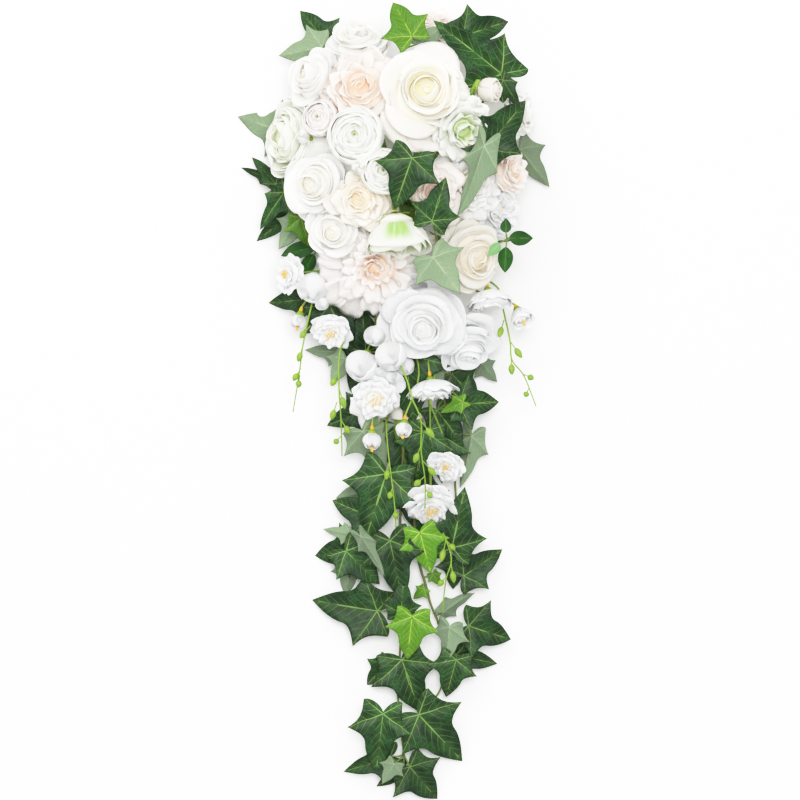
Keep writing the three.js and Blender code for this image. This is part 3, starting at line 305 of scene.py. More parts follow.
def turned(profile: Floats, stand: Stand, sides: int = 24, bumps: Floats | float = 0.0) -> Shape:
    """Turns a profile round the axis of a stand: (r cos a, r sin a, h) for each [r, h] and angle a.

    Args:
        profile: Pairs of distance from the axis and height, from the bottom up.
        stand: Where the thing stands.
        sides: Points in a ring.
        bumps: Further distance from the axis at each ring and angle.

    Returns:
        The closed surface.
    """
    turn = full_turn(sides)
    rings = stand.world(polar(profile[:, :1] + bumps, turn, profile[:, 1:]))
    return closed(rings, stand.world(profile[[0, -1]] @ np.array([[0, 0, 0], [0, 0, 1]])))


def smooth_path(points: Floats, count: int) -> Floats:
    """Runs a Catmull-Rom curve through points.

    Between two points the curve is the cubic whose slope at each is half the step between that
    point's neighbours.

    Args:
        points: Points that the curve passes through.
        count: How many points to give.

    Returns:
        Points along the curve.
    """
    p = np.concatenate([2 * points[:1] - points[1:2], points, 2 * points[-1:] - points[-2:-1]])
    s = np.linspace(0, len(points) - 1, count)
    i = np.minimum(s.astype(int), len(points) - 2)
    t = (s - i)[:, None]
    a, b, c, d = p[i], p[i + 1], p[i + 2], p[i + 3]
    higher = (3 * b - a - 3 * c + d) * t**3 + (2 * a - 5 * b + 4 * c - d) * t**2
    return 0.5 * (2 * b + (c - a) * t + higher)


def from_knot(points: Floats) -> Floats:
    """Puts a first point inside the knot, on the way to the first of the others."""
    out = unit(points[0] - BINDING) * ROOT_DEPTH * HUB_R
    return np.concatenate([(BINDING + out)[None], points])


def cubic(points: Floats, t: Floats) -> Floats:
    """Gives a cubic Bezier curve, s^3 a + 3 s^2 t b + 3 s t^2 c + t^3 d with s = 1 - t.

    Args:
        points: The points a, b, c and d, in the first axis.
        t: Share of the way from a to d.

    Returns:
        The curve's points.
    """
    a, b, c, d = points
    s = 1 - t
    return s**3 * a + 3 * s**2 * t * b + 3 * s * t**2 * c + t**3 * d


def shade(code: str) -> tuple[float, float, float, float]:
    """Turns a screen colour into a linear one with full alpha.

    Each channel s from 0 to 1 becomes ((s + 0.055) / 1.055)^2.4, or s / 12.92 where it is near black.

    Args:
        code: The screen colour, such as "f6f0dc".

    Returns:
        Red, green, blue and alpha.
    """
    screen = np.array([int(code[k : k + 2], 16) for k in (0, 2, 4)]) / 255
    linear = np.where(screen <= 0.04045, screen / 12.92, ((screen + 0.055) / 1.055) ** 2.4)
    return (*(float(value) for value in linear), 1.0)


MIX_SHARE, MIX_FIRST, MIX_SECOND, MIX_RESULT = 0, 6, 7, 2  # a Mix node's sockets for colours


class Wiring:
    """Adds nodes to one tree and links them, a call for each."""

    def __init__(self, tree: Tree) -> None:
        """Starts on a tree."""
        self.tree = tree

    def node(self, kind: str, **settings: object) -> Node:
        """Adds a node.

        Args:
            kind: Its type.
            **settings: Values of its properties.

        Returns:
            The node.
        """
        made = self.tree.nodes.new(kind)
        for name, value in settings.items():
            setattr(made, name, value)
        return made

    def feed(self, value: Value | tuple[float, ...], socket: Socket) -> None:
        """Feeds an input.

        Args:
            value: An output, which is linked, or a plain value, which is set.
            socket: The input.
        """
        if isinstance(value, Socket):
            self.tree.links.new(value, socket)
        else:
            socket.default_value = value

    def add(
        self, kind: str, inputs: dict[str | int, object], output: str | int, **settings: object
    ) -> Socket:
        """Adds a node and feeds its inputs.

        Args:
            kind: Its type.
            inputs: What feeds each input, by its name or number.
            output: Name or number of the output to give.
            **settings: Values of its properties.

        Returns:
            The output.
        """
        made = self.node(kind, **settings)
        for key, value in inputs.items():
            self.feed(value, made.inputs[key])
        return made.outputs[output]

    def math(self, operation: str, *values: Value) -> Socket:
        """Works out a sum of one to three values."""
        return self.add("ShaderNodeMath", dict(enumerate(values)), 0, operation=operation)

    plus = partialmethod(math, "ADD")
    less = partialmethod(math, "SUBTRACT")
    times = partialmethod(math, "MULTIPLY")
    larger = partialmethod(math, "MAXIMUM")
    size = partialmethod(math, "ABSOLUTE")

    def rest(self, share: Value) -> Socket:
        """Gives one less the share."""
        return self.less(1.0, share)

    def rise(self, value: Value, low: Value, high: Value) -> Socket:
        """Gives 0 below low, 1 above high and a smooth step between them."""
        inputs = {"Value": value, "From Min": low, "From Max": high}
        return self.add("ShaderNodeMapRange", inputs, "Result", interpolation_type="SMOOTHSTEP")

    def tone(self, share: Value, low: float, high: float) -> Socket:
        """Runs from low to high as the share runs from 0 to 1."""
        return self.add("ShaderNodeMapRange", {"Value": share, "To Min": low, "To Max": high}, "Result")

    def blend(self, share: Value, first: object, second: object, how: str = "MIX") -> Socket:
        """Mixes two colours by a share of the second."""
        inputs = {MIX_SHARE: share, MIX_FIRST: first, MIX_SECOND: second}
        return self.add("ShaderNodeMix", inputs, MIX_RESULT, data_type="RGBA", blend_type=how)

    def scaled(self, colour: object, factor: Value) -> Socket:
        """Multiplies a colour by a factor."""
        grey = self.add("ShaderNodeCombineColor", dict.fromkeys(range(3), factor), 0)
        return self.blend(1.0, colour, grey, "MULTIPLY")

    def attribute(self, name: str) -> Socket:
        """Reads one of the mesh's own values."""
        return self.add("ShaderNodeAttribute", {}, "Fac", attribute_name=name)

    def flat(self) -> Socket:
        """Reads the mesh's own UV map."""
        return self.add("ShaderNodeUVMap", {}, "UV", uv_map="flat")

    def place(self) -> Socket:
        """Reads the place on the object, in metres."""
        return self.add("ShaderNodeTexCoord", {}, "Object")

    def split(self, vector: Value) -> tuple[Socket, ...]:
        """Takes a vector apart.

        Args:
            vector: The vector.

        Returns:
            Its x, y and z.
        """
        made = self.node("ShaderNodeSeparateXYZ")
        self.feed(vector, made.inputs[0])
        return tuple(made.outputs)

    def joined(self, x: Value, y: Value, z: Value) -> Socket:
        """Puts a vector together."""
        return self.add("ShaderNodeCombineXYZ", {"X": x, "Y": y, "Z": z}, 0)

    def noise(self, vector: Value, scale: float, detail: float = 2.0) -> Socket:
        """Adds soft noise and gives its value."""
        return self.add("ShaderNodeTexNoise", {"Vector": vector, "Scale": scale, "Detail": detail}, "Fac")

    def bump(self, height: Value, strength: float, distance: float) -> Socket:
        """Turns a height from 0 to 1 into a normal."""
        inputs = {"Strength": strength, "Distance": distance, "Height": height}
        return self.add("ShaderNodeBump", inputs, "Normal")

    def group(self, tree: Tree, **inputs: Value) -> Sockets:
        """Places a node group.

        Args:
            tree: The group.
            **inputs: What feeds each of its inputs.

        Returns:
            Its outputs.
        """
        made = self.node("ShaderNodeGroup", node_tree=tree)
        for name, value in inputs.items():
            self.feed(value, made.inputs[name])
        return made.outputs


def new_group(
    name: str, inputs: dict[str, str], outputs: dict[str, str]
) -> tuple[Wiring, Sockets, Sockets]:
    """Starts a shader node group.

    Args:
        name: Name of the group.
        inputs: Name and socket type of each input.
        outputs: Name and socket type of each output.

    Returns:
        The wiring of its tree, its input sockets and its output sockets.
    """
    tree = bpy.data.node_groups.new(name, "ShaderNodeTree")
    for key, kind in inputs.items():
        tree.interface.new_socket(key, in_out="INPUT", socket_type=kind)
    for key, kind in outputs.items():
        tree.interface.new_socket(key, in_out="OUTPUT", socket_type=kind)
    wiring = Wiring(tree)
    return wiring, wiring.node("NodeGroupInput").outputs, wiring.node("NodeGroupOutput").inputs


VECTOR, FLOAT = "NodeSocketVector", "NodeSocketFloat"
CREASES_ACROSS, CREASES_ALONG = 22.0, 2.6  # how fine the creases of a petal are either way
CRUMPLES_ACROSS, CRUMPLES_ALONG = 3.0, 4.0
CREASE_SHIFT = 37.0  # how far apart the creases of two petals are taken from the noise
THREADS = 9000.0  # radians of the weave in a metre


def petal_crease_group(name: str) -> Tree:
    """Builds the creases of pressed petal cloth.

    Fine creases fan out from the root, a noise stretched about eightfold along the petal, over a
    broad crumple. The weave is the product of two sine waves, about 1,430 to a metre.

    Args:
        name: Name of the group.

    Returns:
        The group, with a crease mask, which also lays painted shade in the creases, a height and a weave.
    """
    w, inputs, outputs = new_group(
        name,
        {"Flat": VECTOR, "Place": VECTOR, "Chance": FLOAT},
        {"Crease": FLOAT, "Height": FLOAT, "Weave": FLOAT},
    )
    u, v, _ = w.split(inputs["Flat"])
    shift = w.times(inputs["Chance"], CREASE_SHIFT)
    fan = w.plus(w.times(u, CREASES_ACROSS), shift)
    fine = w.noise(w.joined(fan, w.times(v, CREASES_ALONG), shift), 1.0, 3.0)
    broad = w.noise(w.joined(w.times(u, CRUMPLES_ACROSS), w.times(v, CRUMPLES_ALONG), shift), 1.0)
    x, y, z = w.split(inputs["Place"])
    waves = [w.math("SINE", w.times(w.plus(axis, z), THREADS)) for axis in (x, y)]
    w.feed(w.rise(fine, 0.35, 0.7), outputs["Crease"])
    w.feed(w.plus(w.times(fine, 0.45), w.times(broad, 0.55)), outputs["Height"])
    w.feed(w.times(*waves), outputs["Weave"])
    return w.tree


@dataclass(frozen=True)
class VeinLine:
    """A main vein of a leaf: its direction from the stalk and its length, on the leaf's plane."""

    across: float
    along: float
    length: float


IVY_VEINS = (VeinLine(0.0, 1.0, 1.0), VeinLine(0.912, 0.41, 0.66), VeinLine(0.87, -0.494, 0.43))
BLADE_VEINS = (VeinLine(0.0, 1.0, 1.0),)
STALK_UV = (0.5, 0.3)  # where the stalk meets a leaf on its flat map, which is two leaf lengths wide
VEIN_SHIFT = 50.0  # how far apart the bends and the net of two leaves are taken from the noise
VEIN_BEND = 0.1
VEIN_WIDTH, VEIN_TAPER, THINNEST_VEIN = 0.016, 0.012, 0.003
VEIN_CORE = 0.3  # share of a vein's width that is fully pale
SIDE_FORWARD = 1.6  # how fast side veins bend forward as they leave the main vein
SIDE_WAVER = 8.0
CREST_FROM, CREST_TO = 0.445, 0.485  # a side vein's flank, in rows from midway between two
SIDE_FADE, SIDE_REACH = 0.02, 0.26  # where a side vein starts to fade, and where it ends
NET_CELLS = 15.0  # cells of the net in a leaf length
NET_LINE = 0.09
HALO_WIDTH = 0.13
FAR_OFF = 9.0  # further than any place on a leaf


def leaf_vein_group(
    name: str, veins: tuple[VeinLine, ...], rows: float, lean: float
) -> Tree:
    """Builds the veins of a leaf on its plane, whose left half mirrors the right.

    A main vein is a line from the stalk's end that narrows to its tip: the distance from it is the
    cross product with its direction. Side veins are the lines where the way along the nearest main
    vein, less lean times the distance from it, is a whole number of rows. Between them lies a net,
    the borders of scattered cells. Noise bends all of them.

    Args:
        name: Name of the group.
        veins: The main veins of the right half.
        rows: Side veins in one leaf length.
        lean: How far the side veins run forward.

    Returns:
        The group, with masks of the main veins, side veins, net and pale band, and a height.
    """
    masks = dict.fromkeys(("Main", "Side", "Net", "Halo", "Height"), FLOAT)
    w, inputs, outputs = new_group(name, {"Flat": VECTOR, "Chance": FLOAT}, masks)
    u, v, _ = w.split(inputs["Flat"])
    chance = w.times(inputs["Chance"], VEIN_SHIFT)
    shifted = w.plus(u, chance)
    noises = [w.noise(w.joined(shifted, v, layer), 5.0) for layer in (0.0, 7.0)]
    bends = [w.math("MULTIPLY_ADD", noise, VEIN_BEND, -0.5 * VEIN_BEND) for noise in noises]
    mirrored = w.size(w.times(w.less(u, STALK_UV[0]), 2.0))
    forward = w.times(w.less(v, STALK_UV[1]), 2.0)
    reach = w.rise(w.plus(mirrored, w.size(forward)), 0.0, 0.5)
    x, y = (w.plus(axis, w.times(bend, reach)) for axis, bend in zip((mirrored, forward), bends))
    thick: Value = 0.0
    nearest: Value = FAR_OFF
    side: Value = 0.0
    for vein in veins:
        way = w.plus(w.times(x, vein.across), w.times(y, vein.along))
        off = w.size(w.less(w.times(x, vein.along), w.times(y, vein.across)))
        narrowed = w.math("MULTIPLY_ADD", way, -VEIN_TAPER / vein.length, VEIN_WIDTH)
        width = w.larger(narrowed, THINNEST_VEIN)
        line = w.rest(w.rise(off, w.times(width, VEIN_CORE), width))
        thick = w.larger(thick, w.times(line, w.math("GREATER_THAN", way, 0.0)))
        forward_by = w.times(off, w.math("MULTIPLY_ADD", off, SIDE_FORWARD, lean))
        row = w.times(w.less(way, forward_by), rows)
        share = w.math("FRACT", w.plus(row, w.times(bends[0], SIDE_WAVER)))
        crest = w.rise(w.size(w.less(share, 0.5)), CREST_FROM, CREST_TO)
        stripe = w.times(crest, w.rest(w.rise(off, SIDE_FADE, SIDE_REACH)))
        distance = w.plus(off, w.times(w.math("LESS_THAN", way, 0.0), FAR_OFF))
        closer = w.math("LESS_THAN", distance, nearest)
        side = w.plus(w.times(closer, stripe), w.times(w.rest(closer), side))
        nearest = w.math("MINIMUM", distance, nearest)
    scattered = {"Vector": w.joined(w.plus(x, chance), y, 0.0), "Scale": NET_CELLS}
    border = w.add("ShaderNodeTexVoronoi", scattered, "Distance", feature="DISTANCE_TO_EDGE")
    net = w.rest(w.rise(border, 0.0, NET_LINE))
    w.feed(thick, outputs["Main"])
    w.feed(side, outputs["Side"])
    w.feed(net, outputs["Net"])
    w.feed(w.rest(w.rise(nearest, 0.0, HALO_WIDTH)), outputs["Halo"])
    w.feed(w.larger(w.larger(thick, w.times(side, 0.5)), w.times(net, 0.2)), outputs["Height"])
    return w.tree


def shared(name: str, make: Callable[..., Tree], *details: object) -> Tree:
    """Gives a node group by its name, made from the details the first time it is asked for."""
    return bpy.data.node_groups.get(name) or make(name, *details)


def put(node: Node, values: dict[str, float | tuple[float, ...]]) -> None:
    """Sets plain values on a node's own sockets, by their names."""
    for name, value in values.items():
        node.inputs[name].default_value = value


@dataclass(frozen=True)
class Finish:
    """A finish: the name of its material, the record's slot, which is not used, and its roughness."""

    name: str
    slot: str
    roughness: float

    def material(self) -> bpy.types.Material:
        """Makes the finish's material, unless it is there.

        Returns:
            The material.
        """
        found = bpy.data.materials.get(self.name)
        if found:
            return found
        made = bpy.data.materials.new(self.name)
        made.use_nodes = True
        shader = made.node_tree.nodes["Principled BSDF"]
        put(shader, {"Roughness": self.roughness})
        self.wire(Wiring(made.node_tree), shader)
        return made

    def wire(self, w: Wiring, shader: Node) -> None:
        """Links the finish's colours and relief to the shader."""
        raise NotImplementedError


@dataclass(frozen=True)
class PetalCloth(Finish):
    """Pressed petal cloth: colours of its body, heart and rims, and a fold colour of root tint and painted
    shade.
    """

    body: str
    heart: str
    rim: str
    fold: str
    rim_share: float = 0.25
    heart_from: float = 0.45
    streak: str = ""

    def wire(self, w: Wiring, shader: Node) -> None:
        """Mixes the colours by the way along a petal and by the ring that it stands in.

        Args:
            w: Wiring of the material's tree.
            shader: Its shader.
        """
        along, depth, chance = (w.attribute(name) for name in ("along", "depth", "chance"))
        creases = shared("Petal creases", petal_crease_group)
        crease = w.group(creases, Flat=w.flat(), Place=w.place(), Chance=chance)
        inward = w.plus(w.times(depth, 0.75), w.math("MULTIPLY_ADD", along, -0.6, 0.6))
        colour = w.blend(w.rise(inward, self.heart_from, 1.25), shade(self.body), shade(self.heart))
        # painted shade, in part: the fold colour darkens the roots of the inner rings, where petals shade
        # one another, over their own deeper tint
        deep = w.times(w.rest(w.rise(along, 0.3, 0.72)), w.tone(depth, 0.25, 0.95))
        colour = w.blend(deep, colour, shade(self.fold))
        edge = w.times(w.rise(along, 0.82, 1.0), self.rim_share)
        colour = w.blend(edge, colour, shade(self.rim))
        if self.streak:
            band = w.times(self.streak_band(w), w.tone(crease["Crease"], 1.0, 0.7))
            colour = w.blend(band, colour, shade(self.streak))
        # painted shade: the colour is 3.5% darker along the creases, and differs a little at random from
        # petal to petal
        tone = w.times(w.tone(crease["Crease"], 1.0, 0.965), w.tone(chance, 0.97, 1.0))
        w.feed(w.scaled(colour, tone), shader.inputs["Base Color"])
        height = w.plus(crease["Height"], w.times(crease["Weave"], 0.02))
        w.feed(w.bump(height, 0.5, 1.2 * MM), shader.inputs["Normal"])
        put(shader, {
            "Sheen Weight": 0.15, "Sheen Roughness": 0.4, "Specular IOR Level": 0.25,
            "Subsurface Weight": 0.6, "Subsurface Radius": (1.0, 1.0, 1.0), "Subsurface Scale": 3 * MM,
        })

    def streak_band(self, w: Wiring) -> Socket:
        """Masks a band up the middle of a petal, which starts over its root and fades to its rim.

        Args:
            w: Wiring of the material's tree.

        Returns:
            The mask.
        """
        u, v, _ = w.split(w.flat())
        middle = w.rest(w.rise(w.size(w.less(u, 0.5)), 0.1, 0.25))
        return w.times(middle, w.times(w.rise(v, 0.36, 0.41), w.rest(w.rise(v, 0.68, 1.0))))


@dataclass(frozen=True)
class LeafCloth(Finish):
    """Printed leaf cloth: its face, its veins, its pale back and the colours of a young leaf."""

    face: str
    deep: str
    vein: str
    back: str
    young: str
    young_vein: str
    group: str
    veins: tuple[VeinLine, ...]
    rows: float = 7.0
    lean: float = 0.9
    back_vein: str = "b9cba8"
    back_roughness: float = 0.75

    def wire(self, w: Wiring, shader: Node) -> None:
        """Paints the veins over the face, and the back paler with veins that stand out.

        Args:
            w: Wiring of the material's tree.
            shader: Its shader.
        """
        chance, under, young = (w.attribute(name) for name in ("chance", "under", "young"))
        veins = shared(self.group, leaf_vein_group, self.veins, self.rows, self.lean)
        vein = w.group(veins, Flat=w.flat(), Chance=chance)
        blotch = w.rise(w.noise(w.place(), 90.0, 3.0), 0.3, 0.7)
        grain = w.noise(w.place(), 900.0)
        face = w.blend(blotch, shade(self.deep), shade(self.face))
        face = w.blend(young, face, shade(self.young))
        line = w.blend(young, shade(self.vein), shade(self.young_vein))
        share = w.larger(w.times(vein["Main"], 0.72), w.times(vein["Side"], 0.52))
        share = w.larger(share, w.times(vein["Net"], w.tone(blotch, 0.03, 0.16)))
        share = w.larger(share, w.times(vein["Halo"], 0.1))
        back = w.blend(w.times(share, 0.5), shade(self.back), shade(self.back_vein))
        colour = w.blend(under, w.blend(share, face, line), back)
        tone = w.times(w.tone(chance, 0.8, 1.15), w.tone(grain, 0.88, 1.12))
        w.feed(w.scaled(colour, tone), shader.inputs["Base Color"])
        height = w.plus(w.times(vein["Height"], w.tone(under, -1.0, 1.0)), w.times(grain, 0.35))
        w.feed(w.bump(height, 0.5, 0.6 * MM), shader.inputs["Normal"])
        w.feed(w.tone(under, self.roughness, self.back_roughness), shader.inputs["Roughness"])
        put(shader, {"Specular IOR Level": 0.22, "Subsurface Weight": 0.08, "Subsurface Scale": MM})


@dataclass(frozen=True)
class StemSkin(Finish):
    """A moulded stem or bud: its colour at the root and at the tip, mottled lengthwise."""

    root: str
    tip: str

    def wire(self, w: Wiring, shader: Node) -> None:
        """Runs from the root's colour to the tip's, with fine ridges.

        Args:
            w: Wiring of the material's tree.
            shader: Its shader.
        """
        u, v, _ = w.split(w.flat())
        ridge = w.noise(w.joined(w.times(u, 9.0), w.times(v, 3.0), 0.0), 1.5)
        mottle = w.noise(w.place(), 300.0)
        colour = w.blend(w.attribute("along"), shade(self.root), shade(self.tip))
        tone = w.times(w.tone(ridge, 0.85, 1.1), w.tone(mottle, 0.85, 1.15))
        w.feed(w.scaled(colour, tone), shader.inputs["Base Color"])
        w.feed(w.bump(ridge, 0.3, 0.5 * MM), shader.inputs["Normal"])
        put(shader, {"Specular IOR Level": 0.4, "Subsurface Weight": 0.1, "Subsurface Scale": MM})


@dataclass(frozen=True)
class Satin(Finish):
    """Ribbon satin, with threads across its run and soft pulls."""

    colour: str
    threads: float = 16000.0  # radians in a metre

    def wire(self, w: Wiring, shader: Node) -> None:
        """Tints the pulls and raises the threads.

        Args:
            w: Wiring of the material's tree.
            shader: Its shader.
        """
        x, y, z = w.split(w.place())
        pull = w.noise(w.joined(w.times(x, 40.0), w.times(y, 260.0), z), 1.0, 3.0)
        thread = w.math("SINE", w.times(y, self.threads))
        w.feed(w.scaled(shade(self.colour), w.tone(pull, 0.86, 1.06)), shader.inputs["Base Color"])
        height = w.plus(pull, w.times(thread, 0.05))
        w.feed(w.bump(height, 0.4, 0.8 * MM), shader.inputs["Normal"])
        put(shader, {"Sheen Weight": 0.4, "Anisotropic": 0.4})


# colours: body, heart, rim, then fold, which is partly the petals' deeper root tint and partly painted shade
# in the folds
CREAM = PetalCloth("Cream petal cloth", "cream", 0.7, "f8f3e6", "f8edc6", "faf7ef", "e4cf82")
CREAM_PALE = PetalCloth(
    "Pale cream petal cloth", "cream", 0.7, "ebe5d6", "eadcc4", "f1ece1", "d2b184"
)
WHITE = PetalCloth("White petal cloth", "white", 0.7, "f3f2ee", "f5f0dd", "f8f8f6", "e4dcb4")
COOL_WHITE = PetalCloth(
    "Cool white petal cloth", "white", 0.7, "eff0f1", "eeede8", "f5f5f6", "d9d5c6", heart_from=0.7
)
GREEN_EYE = PetalCloth(
    "White petal cloth with a green heart", "white", 0.7, "f4f5ea", "e0eabc", "f9faf5", "b9c46a"
)
BLUSH = PetalCloth(
    "Blush petal cloth", "blush", 0.7, "f6e7dc", "f0c6a8", "f9efe8", "cf7f4e", 0.3, 0.42
)
BLUSH_PALE = PetalCloth(
    "Pale blush petal cloth", "blush", 0.7, "f6eee8", "f5dccb", "f9f4f0", "ebb594", 0.3, 0.38
)
BLUSH_RUST = PetalCloth(
    "Blush petal cloth with rust rims", "blush", 0.7, "f6f0ea", "ecd2c2", "b98468", "a85f3c", 0.42
)
CHAMPAGNE = PetalCloth(
    "Champagne petal cloth", "champagne", 0.7, "faefdf", "f8dfc0", "fbf2e4", "e2ae6c", 0.3, 0.35
)
IVORY_GREEN = PetalCloth(
    "Ivory petal cloth with a green heart", "ivory", 0.7, "f1f3e8", "c4da94", "f7f8f2", "86ab38"
)
IVORY_PLEATED = PetalCloth("Ivory petal cloth", "ivory", 0.7, "eff2e1", "e6edcd", "f6f8ee", "bccb84")
IVORY_STREAK = PetalCloth(
    "Ivory petal cloth with a green streak", "ivory", 0.7, "eef1de", "e4edc6", "f7f8ee", "e9edd2",
    streak="8fbf66",
)
IVY_LEAF = LeafCloth(
    "Ivy leaf cloth", "ivy", 0.4, "1e441f", "102b12", "86a660", "77876f", "4d7a1c", "b4cc62",
    "Ivy veins", IVY_VEINS,
)
RUSCUS_LEAF = LeafCloth(
    "Ruscus leaf cloth", "ruscus", 0.4, "255518", "174010", "5f9350", "6f9a66", "5f9a35", "9cc26a",
    "Ruscus veins", BLADE_VEINS, 9.0, 2.4,
)
GREEN_STEM = StemSkin("Green stem", "stem", 0.5, "6f8f3a", "8fac48")
LIME_STEM = StemSkin("Lime stem", "stem", 0.5, "6c8636", "92ab48")
LIME_BUD = StemSkin("Lime bud", "bud", 0.45, "7e9839", "7b9a35")
BROWN_VINE = StemSkin("Brown-green vine", "stem", 0.6, "5c5a34", "6f7a44")
PETIOLE = StemSkin("Leaf stalk", "stem", 0.55, "6f7f3f", "6d8a45")
SEPAL = StemSkin("Olive sepal", "stem", 0.5, "7d8f3c", "a3b458")
ORANGE_TUBE = StemSkin("Orange flower tube", "bud", 0.5, "e39a2c", "d9a238")
STAMEN = StemSkin("Yellow stamen", "bud", 0.5, "f0dc96", "f0b63c")
CUT_END = StemSkin("Cut stem end", "stem", 0.8, "c9c48a", "d8d3a0")
TAPE = StemSkin("Floral tape", "stem", 0.7, "5f7f3c", "6b8b44")
RIBBON_SATIN = Satin("Ivory ribbon satin", "ribbon", 0.32, "f4f0e6")


def show(name: str, data: bpy.types.ID) -> bpy.types.Object:
    """Makes an object of a mesh, a lamp or a camera, and links it to the scene."""
    made = bpy.data.objects.new(name, data)
    bpy.context.scene.collection.objects.link(made)
    return made


class Skin:
    """Gathers shapes into one piece of the bouquet, which replaces a node of the model."""

    def __init__(self, name: str) -> None:
        """Starts an empty piece that will stand for the node of this name."""
        self.name = name
        self.shapes: list[Shape] = []
        self.finishes: list[Finish] = []
        self.slots: list[int] = []

    def add(self, shape: Shape, finish: Finish, **values: Floats | float) -> None:
        """Adds a shape in a finish.

        Args:
            shape: The closed surface to add.
            finish: Its finish.
            **values: Values that hold all over it, or one for each point.
        """
        shape.values.update(values)
        if finish not in self.finishes:
            self.finishes.append(finish)
        self.shapes.append(shape)
        self.slots.append(self.finishes.index(finish))

    def add_sheets(
        self, sheets: Floats, finish: Finish, across: Floats, along: Floats, **values: Floats | float
    ) -> None:
        """Adds petals, which are bent sheets with a thickness.

        Args:
            sheets: Grids of points, as (sheet, across, along, xyz).
            finish: Their finish.
            across: Share of the way across a sheet at each point.
            along: Share of the way along it.
            **values: Values that hold all over them, or one for each point of both faces.
        """
        points, quads = thin_sheets(sheets, PETAL_THICK)
        size = sheets.shape[:3]
        uv = np.stack([on_both(across, size), on_both(along, size)], axis=-1)
        self.add(Shape(points, quads, NO_TRIANGLES, uv, {"along": uv[:, 1]}), finish, **values)

    def place(self) -> None:
        """Makes the mesh and its object, in place of the node."""
        starts = np.cumsum([0] + [len(shape.points) for shape in self.shapes])
        faces: list[list[int]] = []
        slots: list[Ints] = []
        for shape, start, slot in zip(self.shapes, starts, self.slots):
            faces += (shape.quads + start).tolist() + (shape.triangles + start).tolist()
            slots.append(np.full(len(shape.quads) + len(shape.triangles), slot))
        mesh = bpy.data.meshes.new(self.name + ".dressed")
        mesh.from_pydata(np.concatenate([shape.points for shape in self.shapes]), [], faces)
        mesh.polygons.foreach_set("material_index", np.concatenate(slots).astype(np.int32))
        mesh.polygons.foreach_set("use_smooth", np.ones(len(faces), dtype=bool))
        for finish in self.finishes:
            mesh.materials.append(finish.material())
        corners = np.empty(len(mesh.loops), dtype=np.int32)
        mesh.loops.foreach_get("vertex_index", corners)
        flat = np.concatenate([shape.uv for shape in self.shapes])[corners]
        mesh.uv_layers.new(name="flat").data.foreach_set("uv", flat.astype(np.float32).ravel())
        for name in ATTRIBUTES:
            each = [
                np.broadcast_to(shape.values.get(name, 0.0), len(shape.points)) for shape in self.shapes
            ]
            layer = mesh.attributes.new(name, "FLOAT", "POINT")
            layer.data.foreach_set("value", np.concatenate(each).astype(np.float32))
        mesh.validate()
        made = show(self.name + ".dressed", mesh)
        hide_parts(self.name)
        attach(made, "root")
        log.info("%s: %d faces, %d finishes", self.name, len(faces), len(self.finishes))


@dataclass
class Piece:
    """A part of the bouquet that stands for the node of its name."""

    name: str

    def add_to(self, skin: Skin) -> None:
        """Adds the part's shapes to a piece's mesh."""
        raise NotImplementedError

    def build(self) -> None:
        """Makes the part in place of its node."""
        skin = Skin(self.name)
        self.add_to(skin)
        skin.place()


class Heart(Enum):
    """What fills the middle of a bloom."""

    SPIRAL = "a coiled petal"
    EYE = "a small green dome"
    STAMENS = "a tuft of stamens"
    CORE = "a closed core, or the packed petals alone"


@dataclass(frozen=True)
class Ring:
    """How one ring of petals runs, in shares of the bloom's radius.

    profile: four [distance from the axis, height] points of the Bezier curve from root to rim.
    spread: how much of its turn a petal takes up. drop: how far its corners stand back.
    corner: how square they are. cup: how far its sides lift. curl: how far its rim rolls out.
    ruffle and waves: depth and number of the waves in its rim. notch: depth of the cut in its tip.
    """

    profile: tuple[tuple[float, float], ...]
    spread: float = 1.3
    drop: float = 0.22
    corner: float = 3.0
    cup: float = 0.03
    curl: float = 0.1
    ruffle: float = 0.02
    waves: float = 2.0
    notch: float = 0.0

    def between(self, inner: "Ring", share: float, rise: float) -> "Ring":
        """Gives the ring that lies a share of the way from this one to an inner one.

        Every number runs evenly, apart from heights, whose share is 1 - (1 - share)^rise.

        Args:
            inner: The innermost ring.
            share: 0 for this ring, 1 for the inner one.
            rise: How soon the rings gain height.

        Returns:
            The ring.
        """
        step = np.array([share, 1 - (1 - share) ** rise])
        mine, theirs = np.array(self.profile), np.array(inner.profile)
        profile = tuple(map(tuple, mine + (theirs - mine) * step))
        mixed = {
            each.name: getattr(self, each.name) * (1 - share) + getattr(inner, each.name) * share
            for each in fields(self)[1:]
        }
        return Ring(profile, **mixed)


@dataclass(frozen=True)
class Form:
    """A kind of bloom: petals in each ring from the outside in, and its outer and inner ring.

    heart, top and foot: what fills the middle, its height and how far the bloom reaches below its
    base. room: radius of the ball that it keeps to itself. All four are in shares of its radius.
    rise: how soon the rings gain height. disorder: how far its petals differ. tight: how much
    closer the inner rings stand. packed: how far below the rims the innermost petals lie packed, or
    0 where nothing fills the rings.
    """

    counts: tuple[int, ...]
    outer: Ring
    inner: Ring
    heart: Heart
    room: float
    top: float
    foot: float = -0.12
    rise: float = 1.7
    disorder: float = 0.08
    tight: float = 1.0
    packed: float = 0.0


